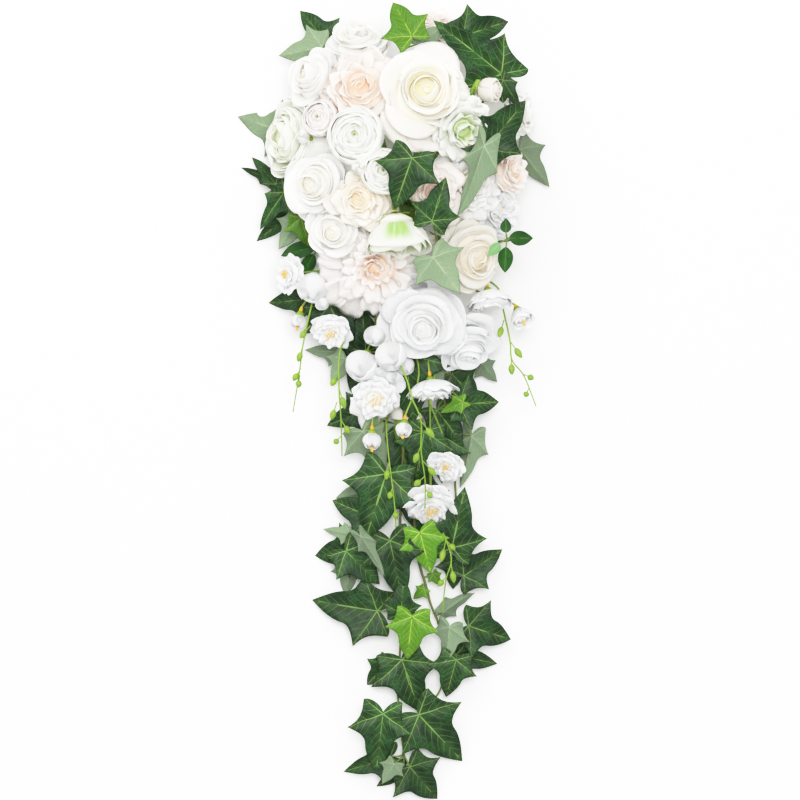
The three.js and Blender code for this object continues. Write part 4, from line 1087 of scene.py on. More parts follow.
class Kind(Enum):
    """The kinds of bloom in the bouquet."""

    ROSE = Form(
        (5, 4, 4, 3, 3, 2),
        Ring(((0.1, 0.0), (0.5, -0.1), (0.9, 0.04), (1.0, 0.28)), 1.6, 0.42, 2.0, 0.0, 0.09, 0.035, 1.6),
        Ring(((0.05, 0.4), (0.3, 0.45), (0.36, 0.74), (0.14, 0.94)), 1.7, 0.42, 2.0, 0.0, 0.03, 0.02, 1.6),
        Heart.SPIRAL, 0.66, 0.86, disorder=0.34, tight=1.15, packed=0.15,
    )
    SMALL_ROSE = Form(
        (5, 4, 3, 3, 2),
        Ring(((0.1, 0.0), (0.6, -0.04), (0.94, 0.16), (0.99, 0.44)), 1.6, 0.42, 2.0, 0.02, 0.09, 0.045, 1.6),
        Ring(((0.05, 0.4), (0.34, 0.45), (0.4, 0.74), (0.16, 0.96)), 1.7, 0.42, 2.0, 0.0, 0.03, 0.02, 1.6),
        Heart.SPIRAL, 0.66, 0.9, disorder=0.34, tight=1.1, packed=0.16,
    )
    GARDEN_ROSE = Form(
        (5, 6, 5, 5, 4, 3),
        Ring(((0.1, 0.0), (0.5, -0.06), (0.88, 0.1), (1.0, 0.38)), 1.4, 0.34, 2.1, 0.03, 0.07, 0.07, 2.4),
        Ring(((0.05, 0.3), (0.2, 0.45), (0.32, 0.66), (0.16, 0.84)), 1.5, 0.34, 2.0, 0.02, 0.03, 0.07, 2.0),
        Heart.SPIRAL, 0.62, 0.78, disorder=0.42, packed=0.16,
    )
    RANUNCULUS = Form(
        (6, 6, 6, 6, 5, 5, 4),
        Ring(((0.2, 0.0), (1.0, -0.08), (1.14, 0.62), (0.86, 0.82)), 1.7, 0.14, 2.6, 0.0, 0.0, 0.012, 2.0),
        Ring(((0.1, 0.45), (0.42, 0.5), (0.4, 0.85), (0.1, 0.93)), 1.8, 0.12, 2.6, 0.0, 0.0, 0.004, 2.0),
        Heart.EYE, 0.84, 0.9, foot=-0.14, rise=1.6, disorder=0.11, packed=0.1,
    )
    DAHLIA = Form(
        (12, 12, 11, 9, 7, 5),
        Ring(((0.06, 0.0), (0.4, 0.1), (0.78, 0.16), (1.04, -0.06)),
             1.0, 0.2, 2.4, 0.07, 0.03, 0.03, 2.2, 0.04),
        Ring(((0.04, 0.2), (0.16, 0.42), (0.2, 0.56), (0.07, 0.66)),
             1.4, 0.3, 2.0, 0.03, 0.02, 0.06, 2.0, 0.03),
        Heart.CORE, 0.45, 0.26, foot=-0.1, rise=1.3, disorder=0.42, tight=0.85, packed=0.12,
    )
    RUFFLED = Form(
        (5, 5, 4, 4, 3),
        Ring(((0.1, 0.0), (0.5, -0.08), (0.85, 0.1), (0.98, 0.28)), 1.4, 0.14, 2.6, 0.07, 0.07, 0.09, 3.2),
        Ring(((0.06, 0.15), (0.26, 0.2), (0.32, 0.45), (0.16, 0.66)), 1.5, 0.16, 2.4, 0.04, 0.05, 0.09, 2.6),
        Heart.CORE, 0.6, 0.3, foot=-0.1, rise=1.5, disorder=0.3, packed=0.26,
    )
    CUP = Form(
        (3, 3, 3),
        Ring(((0.14, 0.08), (0.62, 0.02), (1.14, 0.5), (0.88, 1.2)), 1.25, 0.3, 2.0, 0.0, 0.06, 0.03, 1.5),
        Ring(((0.1, 0.05), (0.5, 0.08), (0.94, 0.55), (0.62, 1.12)), 1.5, 0.22, 2.2, 0.0, 0.02, 0.02, 1.5),
        Heart.CORE, 0.66, 0.98, rise=1.0, disorder=0.06,
    )
    ROSEBUD = Form(
        (4, 3, 3),
        Ring(((0.3, 0.05), (1.1, 0.2), (1.15, 1.1), (0.66, 1.75)), 1.5, 0.2, 2.6, 0.0, 0.08, 0.02, 2.0),
        Ring(((0.2, 0.3), (0.6, 0.5), (0.6, 1.3), (0.22, 1.85)), 1.7, 0.14, 2.6, 0.0, 0.03, 0.02, 2.0),
        Heart.SPIRAL, 0.8, 1.8, foot=-0.15, rise=1.0,
    )
    BLOSSOM = Form(
        (5, 5, 5, 4),
        Ring(((0.06, 0.0), (0.4, -0.06), (0.75, 0.08), (1.0, 0.24)),
             1.3, 0.26, 2.2, 0.08, 0.03, 0.07, 2.6, 0.1),
        Ring(((0.05, 0.1), (0.16, 0.28), (0.3, 0.44), (0.42, 0.56)),
             1.3, 0.2, 2.2, 0.06, 0.02, 0.09, 2.2, 0.1),
        Heart.STAMENS, 0.0, 0.3, foot=-0.1, rise=1.4, disorder=0.42, packed=0.16,
    )
    NODDING = Form(
        (6, 6, 5, 4),
        Ring(((0.06, 0.0), (0.52, -0.06), (0.96, 0.2), (1.0, 0.7)),
             1.6, 0.2, 2.2, 0.03, 0.04, 0.05, 2.6, 0.1),
        Ring(((0.05, 0.1), (0.2, 0.3), (0.45, 0.5), (0.5, 0.8)),
             1.3, 0.16, 2.2, 0.05, 0.02, 0.07, 2.6, 0.12),
        Heart.STAMENS, 0.0, 0.36, foot=-0.1, rise=1.2, disorder=0.24, packed=0.1,
    )
    BELL = Form(
        (5, 4),
        Ring(((0.25, 0.0), (0.95, 0.0), (0.95, 0.7), (0.92, 1.3)), 1.9, 0.3, 1.8, 0.0, 0.05, 0.05, 2.0),
        Ring(((0.2, 0.1), (0.75, 0.15), (0.8, 0.7), (0.6, 1.2)), 1.9, 0.3, 1.8, 0.0, 0.0, 0.05, 2.0),
        Heart.STAMENS, 0.0, 0.5, foot=-0.15, rise=1.0, disorder=0.14,
    )
    CLOSED_BELL = Form(
        (4, 3),
        Ring(((0.25, 0.0), (1.0, -0.05), (1.12, 0.9), (0.4, 1.36)), 1.7, 0.3, 1.9, 0.0, 0.03, 0.04, 2.0),
        Ring(((0.2, 0.1), (0.8, 0.15), (0.9, 0.85), (0.24, 1.34)), 1.7, 0.26, 1.9, 0.0, 0.0, 0.03, 2.0),
        Heart.STAMENS, 0.0, 1.22, foot=-0.15, rise=1.0, disorder=0.1,
    )
    PEONY = Form(
        (5, 5, 5, 4, 3),
        Ring(((0.2, 0.0), (0.86, -0.08), (1.02, 0.42), (0.84, 0.66)), 1.7, 0.2, 2.4, 0.03, 0.04, 0.035, 2.4),
        Ring(((0.1, 0.3), (0.38, 0.4), (0.46, 0.7), (0.2, 0.86)), 1.6, 0.2, 2.4, 0.02, 0.03, 0.045, 2.2),
        Heart.SPIRAL, 0.78, 0.78, foot=-0.1, rise=1.5, disorder=0.24, packed=0.14,
    )


BASE_DROP = 0.42  # how far below its seen middle a bloom's base stands, in its radii
LARGE_MM = 28  # radius from which a bloom's petals take the fine grid
FINE_GRID, PLAIN_GRID = (17, 14), (13, 10)  # points across and along a petal
RIM_ROLL, SIDE_ROLL = 2.3, 0.8  # radians that a petal's rim and its sides roll by
LAP = 0.03  # how much further out one side of a petal stands, in the bloom's radii
COIL_TURNS = 1.4
STAMEN_SWELL = np.array([0.3, 0.28, 0.26, 0.26, 0.3, 0.7, 0.45]) * MM  # radius from root to tip


@dataclass
class Bloom(Piece):
    """One flower: its kind and finish, where it is seen, the way it faces and its radius."""

    kind: Kind
    finish: PetalCloth
    cell: Cell
    height: float
    face: Triple
    radius_mm: float
    spin: float

    def __post_init__(self) -> None:
        """Works out where the base of the core stands, the seed and the petals' grid."""
        self.radius = self.radius_mm * MM
        self.axis = unit(self.face)
        self.base = at(self.cell, self.height) - BASE_DROP * self.radius * self.axis
        self.stand = Stand(self.base, self.axis)
        self.rng = np.random.default_rng(int(self.cell[0] * 7 + self.cell[1] * 13))
        self.grid = FINE_GRID if self.radius_mm >= LARGE_MM else PLAIN_GRID

    def room(self) -> Room:
        """Gives the ball of room that the bloom keeps to itself."""
        middle = self.base + 0.4 * self.radius * self.axis
        return Room(self.name, middle, self.kind.value.room * self.radius)

    def ring(self, ring: Ring, count: int, index: int, shift: float) -> Floats:
        """Works out one ring of petals.

        With u from -1 to 1 across a petal and v from 0 to 1 along it, t is v less what the corners
        stand back, and the profile's Bezier curve at t gives distance r from the axis and height h.
        The rim rolls by an angle b that grows over the last third: r gains curl (1 - cos b) and h
        gains curl (sin b - b). Each petal spans its share of the turn in angle, one side a little
        further out than the other so that neighbours lap. The ring leans to one side: h gains
        r cos(angle - lean's direction), and its rims shift that way.

        Args:
            ring: How the ring runs.
            count: Petals in it.
            index: Its number from the outside.
            shift: How far the ring sways to one side, from 0 at the outside to 1 at the heart.

        Returns:
            Grids of points, as (petal, across, along, xyz), in the bouquet's frame.
        """
        u, v = spans(*self.grid)
        size, disorder = (count, 1, 1), self.kind.value.disorder
        stretch = 1 + self.rng.uniform(-0.5, 0.5, size) * disorder
        lean, lift, peak, roll = (self.rng.uniform(-1, 1, size) * disorder for _ in range(4))
        phase, other = (self.rng.uniform(0, 2 * np.pi, size) for _ in range(2))
        off = np.abs(u - 1.2 * peak * (1 - u * u))
        cut = ring.drop * off**ring.corner + ring.notch * np.exp(-((u / 0.2) ** 2))
        t = v * (1 - cut)
        curve = cubic(np.array(ring.profile)[:, :, None, None, None], t)
        r, h = curve[0] * (1 + (stretch - 1) * t), curve[1] * (1 + 0.5 * lift * t)
        bend = RIM_ROLL * smooth(t, 0.66, 1.0)
        bend = bend + SIDE_ROLL * smooth(np.abs(u), 0.5, 1.0) * smooth(t, 0.35, 0.9)
        curl = ring.curl * (1 + 3 * roll)
        r = r + curl * (1 - np.cos(bend)) + LAP * u * t
        h = h + curl * (np.sin(bend) - bend) + ring.cup * (u**2 - 0.3) * t
        fade = smooth(t, 0.3, 1.0) ** 2
        wave = ring.ruffle * np.sin(ring.waves * np.pi * u + phase) * fade
        sway = ring.ruffle * np.sin(0.7 * ring.waves * np.pi * u + other) * fade
        r, h = r + 0.6 * wave, h + wave + 0.5 * sway
        half = np.pi / count * ring.spread * (0.6 + 0.4 * smooth(v, 0.0, 0.6))
        start = self.spin + NEXT_TURN * index
        angle = start + (np.arange(count)[:, None, None] + 0.8 * lean) * 2 * np.pi / count + u * half
        side, turned_by = self.rng.uniform(0.2, 1.0) * disorder, self.rng.uniform(0, 2 * np.pi)
        h = h + 0.5 * side * r * np.cos(angle - turned_by) * t
        x = r * np.cos(angle) + 0.3 * side * np.cos(turned_by) * t * shift
        y = r * np.sin(angle) + 0.3 * side * np.sin(turned_by) * t * shift
        local = self.radius * np.stack([x, y, h], axis=-1)
        return bend_clear(self.stand.world(local), self.name)

    def add_petals(self, skin: Skin) -> None:
        """Adds every ring of petals, from the outside in.

        Args:
            skin: The piece.
        """
        form = self.kind.value
        u, v = spans(*self.grid)
        for index, count in enumerate(form.counts):
            share = 1 - (1 - index / (len(form.counts) - 1)) ** form.tight
            sheets = self.ring(form.outer.between(form.inner, share, form.rise), count, index, share)
            chance = on_both(self.rng.uniform(0, 1, (count, 1, 1)), sheets.shape[:3])
            skin.add_sheets(sheets, self.finish, 0.5 + 0.5 * u, v, chance=chance, depth=share)

    def add_spiral(self, skin: Skin) -> None:
        """Adds the coiled petal in the middle, whose distance from the axis grows with its angle.

        Args:
            skin: The piece.
        """
        turn = np.linspace(0, COIL_TURNS * 2 * np.pi, 56)[None, :, None]
        v = np.linspace(0, 1, 10)[None, None, :]
        reach = 0.03 + 0.1 * turn / (2 * np.pi)
        oval = 1 + 0.22 * np.cos(2 * turn)
        r = reach * oval * (1.25 - 0.45 * v + 0.35 * smooth(v, 0.75, 1.0))
        h = self.kind.value.top * (0.45 + 0.56 * v) - 0.5 * reach + 0.02 * np.sin(1.5 * turn)
        sheets = self.stand.world(self.radius * polar(r, turn + self.spin, h))
        across = turn / (COIL_TURNS * 2 * np.pi)
        skin.add_sheets(sheets, self.finish, across, v, depth=1.0, chance=0.5)

    def add_core(self, skin: Skin, finish: Finish, reach: float, top: float, low: float) -> None:
        """Adds a closed dome on the axis: r = reach (cos a)^0.7 and h = low + (top - low) sin a.

        Args:
            skin: The piece.
            finish: Its finish.
            reach: Its radius, as a share of the bloom's, as are the heights.
            top: Height of its top.
            low: Height of its widest ring.
        """
        a = np.linspace(0.02, np.pi / 2 - 0.03, 10)
        dome = np.stack([reach * np.cos(a) ** 0.7, low + (top - low) * np.sin(a)], axis=-1)
        profile = self.radius * np.concatenate([[[0.5 * reach, low - 0.15]], dome])
        # depth 1.0 gives the dome's lower part the fold colour, partly painted shade deep in the heart
        skin.add(turned(profile, self.stand, 16), finish, depth=1.0, chance=0.5)

    def add_packing(self, skin: Skin, packed: float) -> None:
        """Adds the innermost petals as one folded dome that lies a little below the rings' rims.

        Its profile joins the rims of the outer and the inner ring, drawn in by the depth, and its
        distance from the axis swells and shrinks five times round in folds that turn with the
        height.

        Args:
            skin: The piece.
            packed: How far below the rims it lies, as a share of the radius.
        """
        form, sides = self.kind.value, 40
        share = np.linspace(0, 1, 12)
        (r0, h0), (r1, h1) = form.outer.profile[3], form.inner.profile[3]
        reach = np.maximum((r0 + (r1 - r0) * share) * 0.9 - packed, 0.02)
        height = h0 + (h1 - h0) * (1 - (1 - share) ** form.rise) - packed
        foot = [0.3 * reach[0], min(height[0] - 0.12, 0.0)]
        profile = np.concatenate([[foot], np.stack([reach, height], axis=-1)])
        turn = full_turn(sides)
        folds = 0.05 * profile[:, :1] * np.sin(5 * turn + 7 * profile[:, 1:] + self.spin)
        shape = turned(self.radius * profile, self.stand, sides, self.radius * folds)
        depth = np.append(np.repeat(np.append(0.0, share), sides), [0.0, 1.0])
        # along 0.52 gives the packing about half of the fold colour, partly painted shade down among the
        # petals
        skin.add(shape, self.finish, depth=depth, along=0.52, chance=0.5)

    def add_stamens(self, skin: Skin) -> None:
        """Adds a tuft of stamens, each a thread that leans out and swells at its tip.

        A bell has three long ones, another bloom nine short ones.

        Args:
            skin: The piece.
        """
        bell = self.kind in (Kind.BELL, Kind.CLOSED_BELL)
        count, length = (3, 1.6) if bell else (9, 0.52)
        way = np.linspace(0, 1, len(STAMEN_SWELL))
        for index in range(count):
            rise = length * (0.8 + 0.3 * self.rng.random())
            out = (0.05 + 0.026 * index) * (0.3 + 0.9 * way**1.5)
            local = polar(out, NEXT_TURN * index, 0.1 + rise * way)
            path = self.stand.world(self.radius * local)
            skin.add(tube(path, STAMEN_SWELL, 5), STAMEN, chance=0.5)

    def add_calyx(self, skin: Skin) -> None:
        """Adds the green cup under the bloom and its five sepals, which lie against the petals.

        A sepal's half width is 0.42 of its angle times a sine of the way along it, and it rises as
        the square of that way.

        Args:
            skin: The piece.
        """
        foot = self.kind.value.foot
        cup = np.array([[0.05, -0.14], [0.12, -0.12], [0.2, -0.02], [0.16, 0.05]]) + (0.0, foot)
        skin.add(turned(self.radius * cup, self.stand, 16), SEPAL)
        u, v = spans(7, 9)
        half = 0.42 * np.sin(np.pi * np.minimum(v + 0.18, 1.0)) ** 0.8 * (1 - 0.6 * v)
        angle = headings(5) + self.spin + u * half
        h = foot - 0.05 + 0.1 * v**2 - 0.04 * v - 0.03 * (1 - u**2) * (1 - v)
        local = self.radius * polar(0.14 + 0.42 * v, angle, h)
        sheets = bend_clear(self.stand.world(local), self.name)
        skin.add_sheets(sheets, SEPAL, 0.5 + 0.5 * u, v)

    def add_to(self, skin: Skin) -> None:
        """Adds the whole bloom to a piece: its petals, what lies packed in them and its heart.

        Args:
            skin: The piece.
        """
        self.add_petals(skin)
        form = self.kind.value
        if form.packed:
            self.add_packing(skin, form.packed)
        if form.heart is Heart.SPIRAL:
            self.add_spiral(skin)
            self.add_core(skin, self.finish, 0.16, form.top - 0.14, 0.1)
        elif form.heart is Heart.EYE:
            self.add_core(skin, self.finish, 0.2, form.top - 0.02, 0.3)
            self.add_core(skin, LIME_BUD, 0.07, form.top + 0.015, form.top - 0.2)
        elif form.heart is Heart.STAMENS:
            self.add_stamens(skin)
            reach, top = (0.68, 0.9) if self.kind is Kind.BELL else (0.14, 0.3)
            self.add_core(skin, self.finish, reach, top, 0.0)
        elif not form.packed:
            self.add_core(skin, self.finish, 0.52, form.top, 0.0)


@dataclass
class BallBud:
    """A closed bud: a ball of petals that lap over one another."""

    middle: Floats
    axis: Floats
    radius: float
    spin: float = 0.0

    def add_to(self, skin: Skin, finish: PetalCloth = COOL_WHITE) -> None:
        """Adds the bud to a piece.

        Petals run from pole to pole of a ball: r = R sin a and h = -0.86 R cos a, with a from 0.12
        to 3.05, in two rings of three. Each is a little further out on one side than on the other.

        Args:
            skin: The piece.
            finish: The petals' finish.
        """
        stand = Stand(self.middle, self.axis)
        u, v = spans(13, 13)
        lift = (0.12 + 2.93 * v) * (1 - 0.2 * np.abs(u) ** 2.5)
        for index, reach in enumerate((0.98, 0.93)):
            angle = headings(3) + self.spin + index + u * 1.5
            lap = reach + 0.045 * u + 0.02 * smooth(v, 0.75, 1.0)
            local = self.radius * polar(lap * np.sin(lift), angle, -0.86 * lap * np.cos(lift))
            values = {"depth": 0.3 * index, "chance": 0.4 + 0.3 * index}
            skin.add_sheets(stand.world(local), finish, 0.5 + 0.5 * u, v, **values)
        a = np.linspace(0.15, np.pi - 0.15, 12)
        core = 0.84 * self.radius * np.stack([np.sin(a), -0.9 * np.cos(a)], axis=-1)
        # the core's depth 0.8 near its root gives it most of the fold colour, partly painted shade between
        # the petals
        skin.add(turned(core, stand, 20), finish, depth=0.8, along=0.2)


def add_cup(skin: Skin, base: Floats, axis: Floats, radius: float, tube_length: float) -> None:
    """Adds a small green calyx under a flower, and the orange tube between it and the stem.

    Args:
        skin: The piece.
        base: Where the flower's petals start.
        axis: The way that the flower faces.
        radius: Radius of the calyx.
        tube_length: Length of the orange tube, or 0 for none.
    """
    cup = radius * np.array([[0.2, -1.2], [0.62, -1.0], [0.95, -0.4], [1.0, 0.1], [0.8, 0.35]])
    skin.add(turned(cup, Stand(base, axis), 14), LIME_BUD, along=1.0)
    if tube_length:
        way = np.linspace(radius, radius + tube_length, 6)[:, None]
        swell = np.array([0.9, 1.25, 1.35, 1.3, 1.15, 0.85]) * 1.25 * MM
        skin.add(tube(base - unit(axis) * way, swell), ORANGE_TUBE)


def places(stops: tuple[Stop, ...]) -> Floats:
    """Gives the places of stops."""
    numbers = np.array(stops, dtype=float)
    return at(numbers[:, :2], numbers[:, 2])


@dataclass
class Head:
    """One head of a spray: a blossom, a bell or a ball bud, and a stop that its stem passes."""

    kind: Kind | None
    cell: Cell
    height: float
    face: Triple
    radius_mm: float
    via: Stop | None = None


@dataclass
class Spray(Piece):
    """White heads on thin stems that leave the end of one trunk."""

    trunk: tuple[Stop, ...]
    heads: tuple[Head, ...]

    def add_to(self, skin: Skin) -> None:
        """Adds the trunk, and each head with its stem and calyx.

        Args:
            skin: The piece's mesh.
        """
        trunk = places(self.trunk)
        for index, head in enumerate(self.heads):
            radius = head.radius_mm * MM
            axis = unit(head.face)
            middle = at(head.cell, head.height)
            base = middle - axis * (0.3 if head.kind else 0.8) * radius
            if head.kind:
                self.add_bloom(skin, head, index, Stand(base, axis))
            else:
                BallBud(middle, axis, radius, 0.9 * index).add_to(skin)
                add_cup(skin, base, axis, 0.34 * radius, 0.0)
            below = base - axis * (0.6 * radius + 4 * MM)
            via = places((head.via,)) if head.via else ()
            path = smooth_path(np.array([trunk[-1], *via, below, base - 0.1 * radius * axis]), 16)
            skin.add(tube(path, TWIG_R, 7), LIME_STEM)
        skin.add(tube(smooth_path(from_knot(trunk), 20), VINE_R), LIME_STEM)

    def add_bloom(self, skin: Skin, head: Head, index: int, stand: Stand) -> None:
        """Adds an open head and its calyx, which is wide under a bell.

        Args:
            skin: The piece.
            head: The head.
            index: Its number, which turns it.
            stand: Where its petals start.
        """
        bloom = Bloom(
            self.name, head.kind, COOL_WHITE, head.cell, head.height, head.face, head.radius_mm,
            0.7 * index,
        )
        bloom.stand = stand
        bloom.add_to(skin)
        cup = (0.19 if head.kind in (BLOSSOM, NODDING) else 0.52) * bloom.radius
        add_cup(skin, stand.base, stand.axis, cup, TUBE_LENGTH)


@dataclass
class Strand(Piece):
    """A strand of little green buds on short stalks."""

    points: tuple[Stop, ...]
    buds: tuple[tuple[Cell, Cell], ...]

    def height(self, row: float) -> float:
        """Gives the strand's height where it passes a row of the front view.

        Args:
            row: The row.

        Returns:
            The height, in millimetres.
        """
        rows = np.array([point[1] for point in self.points])
        ahead = max(int(np.argmax(rows >= row)), 1)
        (_, r0, z0), (_, r1, z1) = self.points[ahead - 1], self.points[ahead]
        return z0 + (z1 - z0) * (row - r0) / (r1 - r0)

    def add_bud(self, skin: Skin, start: Cell, end: Cell) -> None:
        """Adds a bud like an almond on its stalk.

        The radius swells as a sine over the last 58% of its length, and ends in a point.

        Args:
            skin: The piece.
            start: Cell where its stalk leaves the strand.
            end: Cell of its tip.
        """
        foot = at(start, self.height(start[1]))
        tip = at(end, self.height(end[1]) + 2)
        s = np.linspace(0, 1, 18)
        body = np.clip((s - 0.42) / 0.58, 0, 1)
        stalk_r, point_r = 0.5 * MM, 0.15 * MM
        radius = stalk_r + (BUD_R - stalk_r) * np.sin(np.pi * body**0.85) ** 0.9
        radius[-1] = point_r
        skin.add(tube(foot + (tip - foot) * s[:, None], radius, 10), LIME_BUD)

    def add_to(self, skin: Skin) -> None:
        """Adds the strand and its buds.

        Args:
            skin: The piece's mesh.
        """
        count = 8 * len(self.points)
        radius = TWIG_R * np.linspace(1.15, 0.6, count)
        skin.add(tube(smooth_path(from_knot(places(self.points)), count), radius), LIME_BUD)
        for start, end in self.buds:
            self.add_bud(skin, start, end)


class Outline(Enum):
    """The right half of a leaf's outline, one unit long, as Bezier curves of [across, along]."""

    IVY = (
        ((0.0, -0.03), (0.06, -0.15), (0.24, -0.27), (0.37, -0.21)),
        ((0.37, -0.21), (0.37, -0.02), (0.36, 0.1), (0.6, 0.27)),
        ((0.6, 0.27), (0.42, 0.31), (0.27, 0.36), (0.255, 0.5)),
        ((0.255, 0.5), (0.24, 0.66), (0.09, 0.86), (0.0, 1.0)),
    )
    BLADE = (
        ((0.0, 0.0), (0.13, 0.08), (0.2, 0.24), (0.18, 0.46)),
        ((0.18, 0.46), (0.17, 0.68), (0.05, 0.9), (0.0, 1.0)),
    )

    def loop(self) -> Floats:
        """Gives the whole outline from the stalk's end round the right side and back.

        Returns:
            Points on the leaf's plane, as [across, along].
        """
        t = np.linspace(0, 1, 10, endpoint=False)[:, None]
        half = np.concatenate([cubic(np.array(curve), t) for curve in self.value])
        left = half[:0:-1] * (-1, 1)
        return np.concatenate([half, [[0.0, 1.0]], left])


LEAF_RINGS = 10
SWELL, SWELL_WIDTH = 0.022, 0.07  # height of the cloth between the veins, and how soon it is reached
EDGE_WAVE = 0.03
LOBE_FROM, LOBE_HANG = 0.35, 0.16  # how far out the lobes start to hang, and how much they do


@dataclass
class Leaf:
    """A leaf from the stop where its stalk meets it to the stop of its tip.

    roll turns it about its midrib, wide stretches it sideways, flip turns its pale back up, and
    young runs from 0 for a dark leaf to 1 for a lime one.
    """

    root: Stop
    tip: Stop
    wide: float = 1.0
    roll: float = 0.0
    flip: bool = False
    young: float = 0.0
    outline: Outline = Outline.IVY
    droop: float = 0.12
    fold: float = 0.15

    def relief(self, x: Floats, y: Floats, phase: float) -> Floats:
        """Gives the height of the leaf's surface over its plane.

        Its halves rise from the midrib, its tip bends down as y - y^2, it swells between its main
        veins, by the distance from the nearest, its edge waves and the tips of its lobes hang.

        Args:
            x: Places across the leaf.
            y: Places along it.
            phase: Where its waves start.

        Returns:
            Heights, in leaf lengths.
        """
        bowl = self.fold * np.abs(x) - self.droop * (y * y - y)
        bowl = bowl - 0.5 * self.droop * x * x - 0.2 * self.droop
        off = np.full_like(x, FAR_OFF)
        for vein in IVY_VEINS if self.outline is Outline.IVY else BLADE_VEINS:
            way = np.abs(x) * vein.across + y * vein.along
            cross = np.abs(np.abs(x) * vein.along - y * vein.across)
            off = np.minimum(off, np.where(way > 0, cross, FAR_OFF))
        swell = SWELL * (1 - np.exp(-((off / SWELL_WIDTH) ** 2)))
        out, turn = np.hypot(x, y - 0.2), np.arctan2(x, y - 0.2)
        edge = EDGE_WAVE * np.sin(9 * x + phase) * np.cos(7 * y + 2 * phase) * smooth(out, 0.1, 0.6)
        tips = -LOBE_HANG * np.maximum(out - LOBE_FROM, 0) ** 1.5 * (1 + 0.6 * np.sin(3 * turn + phase))
        return bowl + swell + edge + tips

    def add_to(self, skin: Skin, spot: Floats, owner: str, seed: int, finish: LeafCloth) -> None:
        """Adds the leaf and its stalk to a piece.

        The surface is a polar grid about the leaf's middle: the middle plus a share s of the way to
        each point of the outline, lifted by the relief.

        Args:
            skin: The piece.
            spot: Where its stalk leaves the stem.
            owner: Name of the piece, for the rooms it keeps out of.
            seed: Seed of its small differences.
            finish: The leaf's finish.
        """
        rng = np.random.default_rng(seed)
        root, tip = places((self.root, self.tip))
        size = float(np.linalg.norm(tip - root))
        along = (tip - root) / size
        angle = np.radians(self.roll)
        level = np.array((0.0, 0.0, 1.0))
        up = level * np.cos(angle) + np.cross(along, level) * np.sin(angle)
        up = up + along * (along @ level) * (1 - np.cos(angle))
        across = unit(np.cross(along, up))
        up = np.cross(across, along)
        loop = self.outline.loop()
        middle = np.array((0.0, 0.1 if self.outline is Outline.IVY else 0.4))
        share = np.linspace(0, 1, LEAF_RINGS + 1)[1:, None, None] ** 0.9
        flat = np.concatenate([middle[None], (middle + share * (loop - middle)).reshape(-1, 2)])
        x, y = flat[:, 0], flat[:, 1]
        height = (-1 if self.flip else 1) * self.relief(x, y, rng.uniform(0, 6))
        skew = 1 + 0.08 * rng.uniform(-1, 1) * np.sign(x)
        sideways = (x * skew * self.wide)[:, None] * across
        sheet = root + size * (y[:, None] * along + sideways + height[:, None] * up)
        sheet = bend_clear(bend_clear(sheet, owner), owner)
        half = 0.5 * LEAF_THICK * up
        quads, triangles = self.faces(len(loop), len(flat))
        side = np.repeat([1.0, 0.0] if self.flip else [0.0, 1.0], len(flat))
        values = {"under": side, "young": self.young, "chance": float(rng.random())}
        uv = np.tile(np.array(STALK_UV) + 0.5 * flat, (2, 1))
        points = np.concatenate([sheet + half, sheet - half])
        skin.add(Shape(points, quads, triangles, uv, values), finish)
        joint = root + (0.05 * along - 0.02 * up) * size
        bow = 0.5 * (spot + root) + 0.12 * float(np.linalg.norm(root - spot)) * up
        stalk = smooth_path(np.array([spot, bow, root - 0.02 * size * up, joint]), 12)
        skin.add(tube(stalk, np.linspace(1.1, 0.7, 12) * STALK_R, 7), PETIOLE)

    def faces(self, turn: int, count: int) -> tuple[Ints, Ints]:
        """Joins the rings of the polar grid into an upper face, a lower face and the rim.

        Args:
            turn: Points in a ring.
            count: Points of one face, its middle first.

        Returns:
            The four-sided faces and the triangles round the two middles.
        """
        cell = 1 + np.arange(LEAF_RINGS * turn).reshape(LEAF_RINGS, turn)
        ahead = np.roll(cell, -1, axis=1)
        top = np.stack([cell[:-1], cell[1:], ahead[1:], ahead[:-1]], axis=-1).reshape(-1, 4)
        fan = np.stack([0 * cell[0], cell[0], ahead[0]], axis=-1)
        rim = np.stack([ahead[-1], cell[-1], cell[-1] + count, ahead[-1] + count], axis=-1)
        quads = np.concatenate([top, top[:, ::-1] + count, rim])
        return quads, np.concatenate([fan, fan[:, ::-1] + count])


@dataclass
class Vine(Piece):
    """A stem from the knot on, and its leaves."""

    stem: tuple[Stop, ...]
    leaves: tuple[Leaf, ...]
    finish: LeafCloth = IVY_LEAF

    def add_to(self, skin: Skin) -> None:
        """Adds the stem, and each leaf from the place on it that its stalk leaves.

        Args:
            skin: The piece's mesh.
        """
        path = smooth_path(from_knot(places(self.stem)), 12 * len(self.stem))
        for index, leaf in enumerate(self.leaves):
            root, tip = places((leaf.root, leaf.tip))
            along, back = unit(tip - root), path - root
            cost = np.linalg.norm(back, axis=1) + 3 * np.maximum(back @ along, 0)
            seed = 100 * len(self.leaves) + index + int(self.stem[0][0])
            leaf.add_to(skin, path[int(np.argmin(cost))], self.name, seed, self.finish)
        skin.add(tube(path, VINE_R * np.linspace(1.15, 0.7, len(path))), BROWN_VINE)


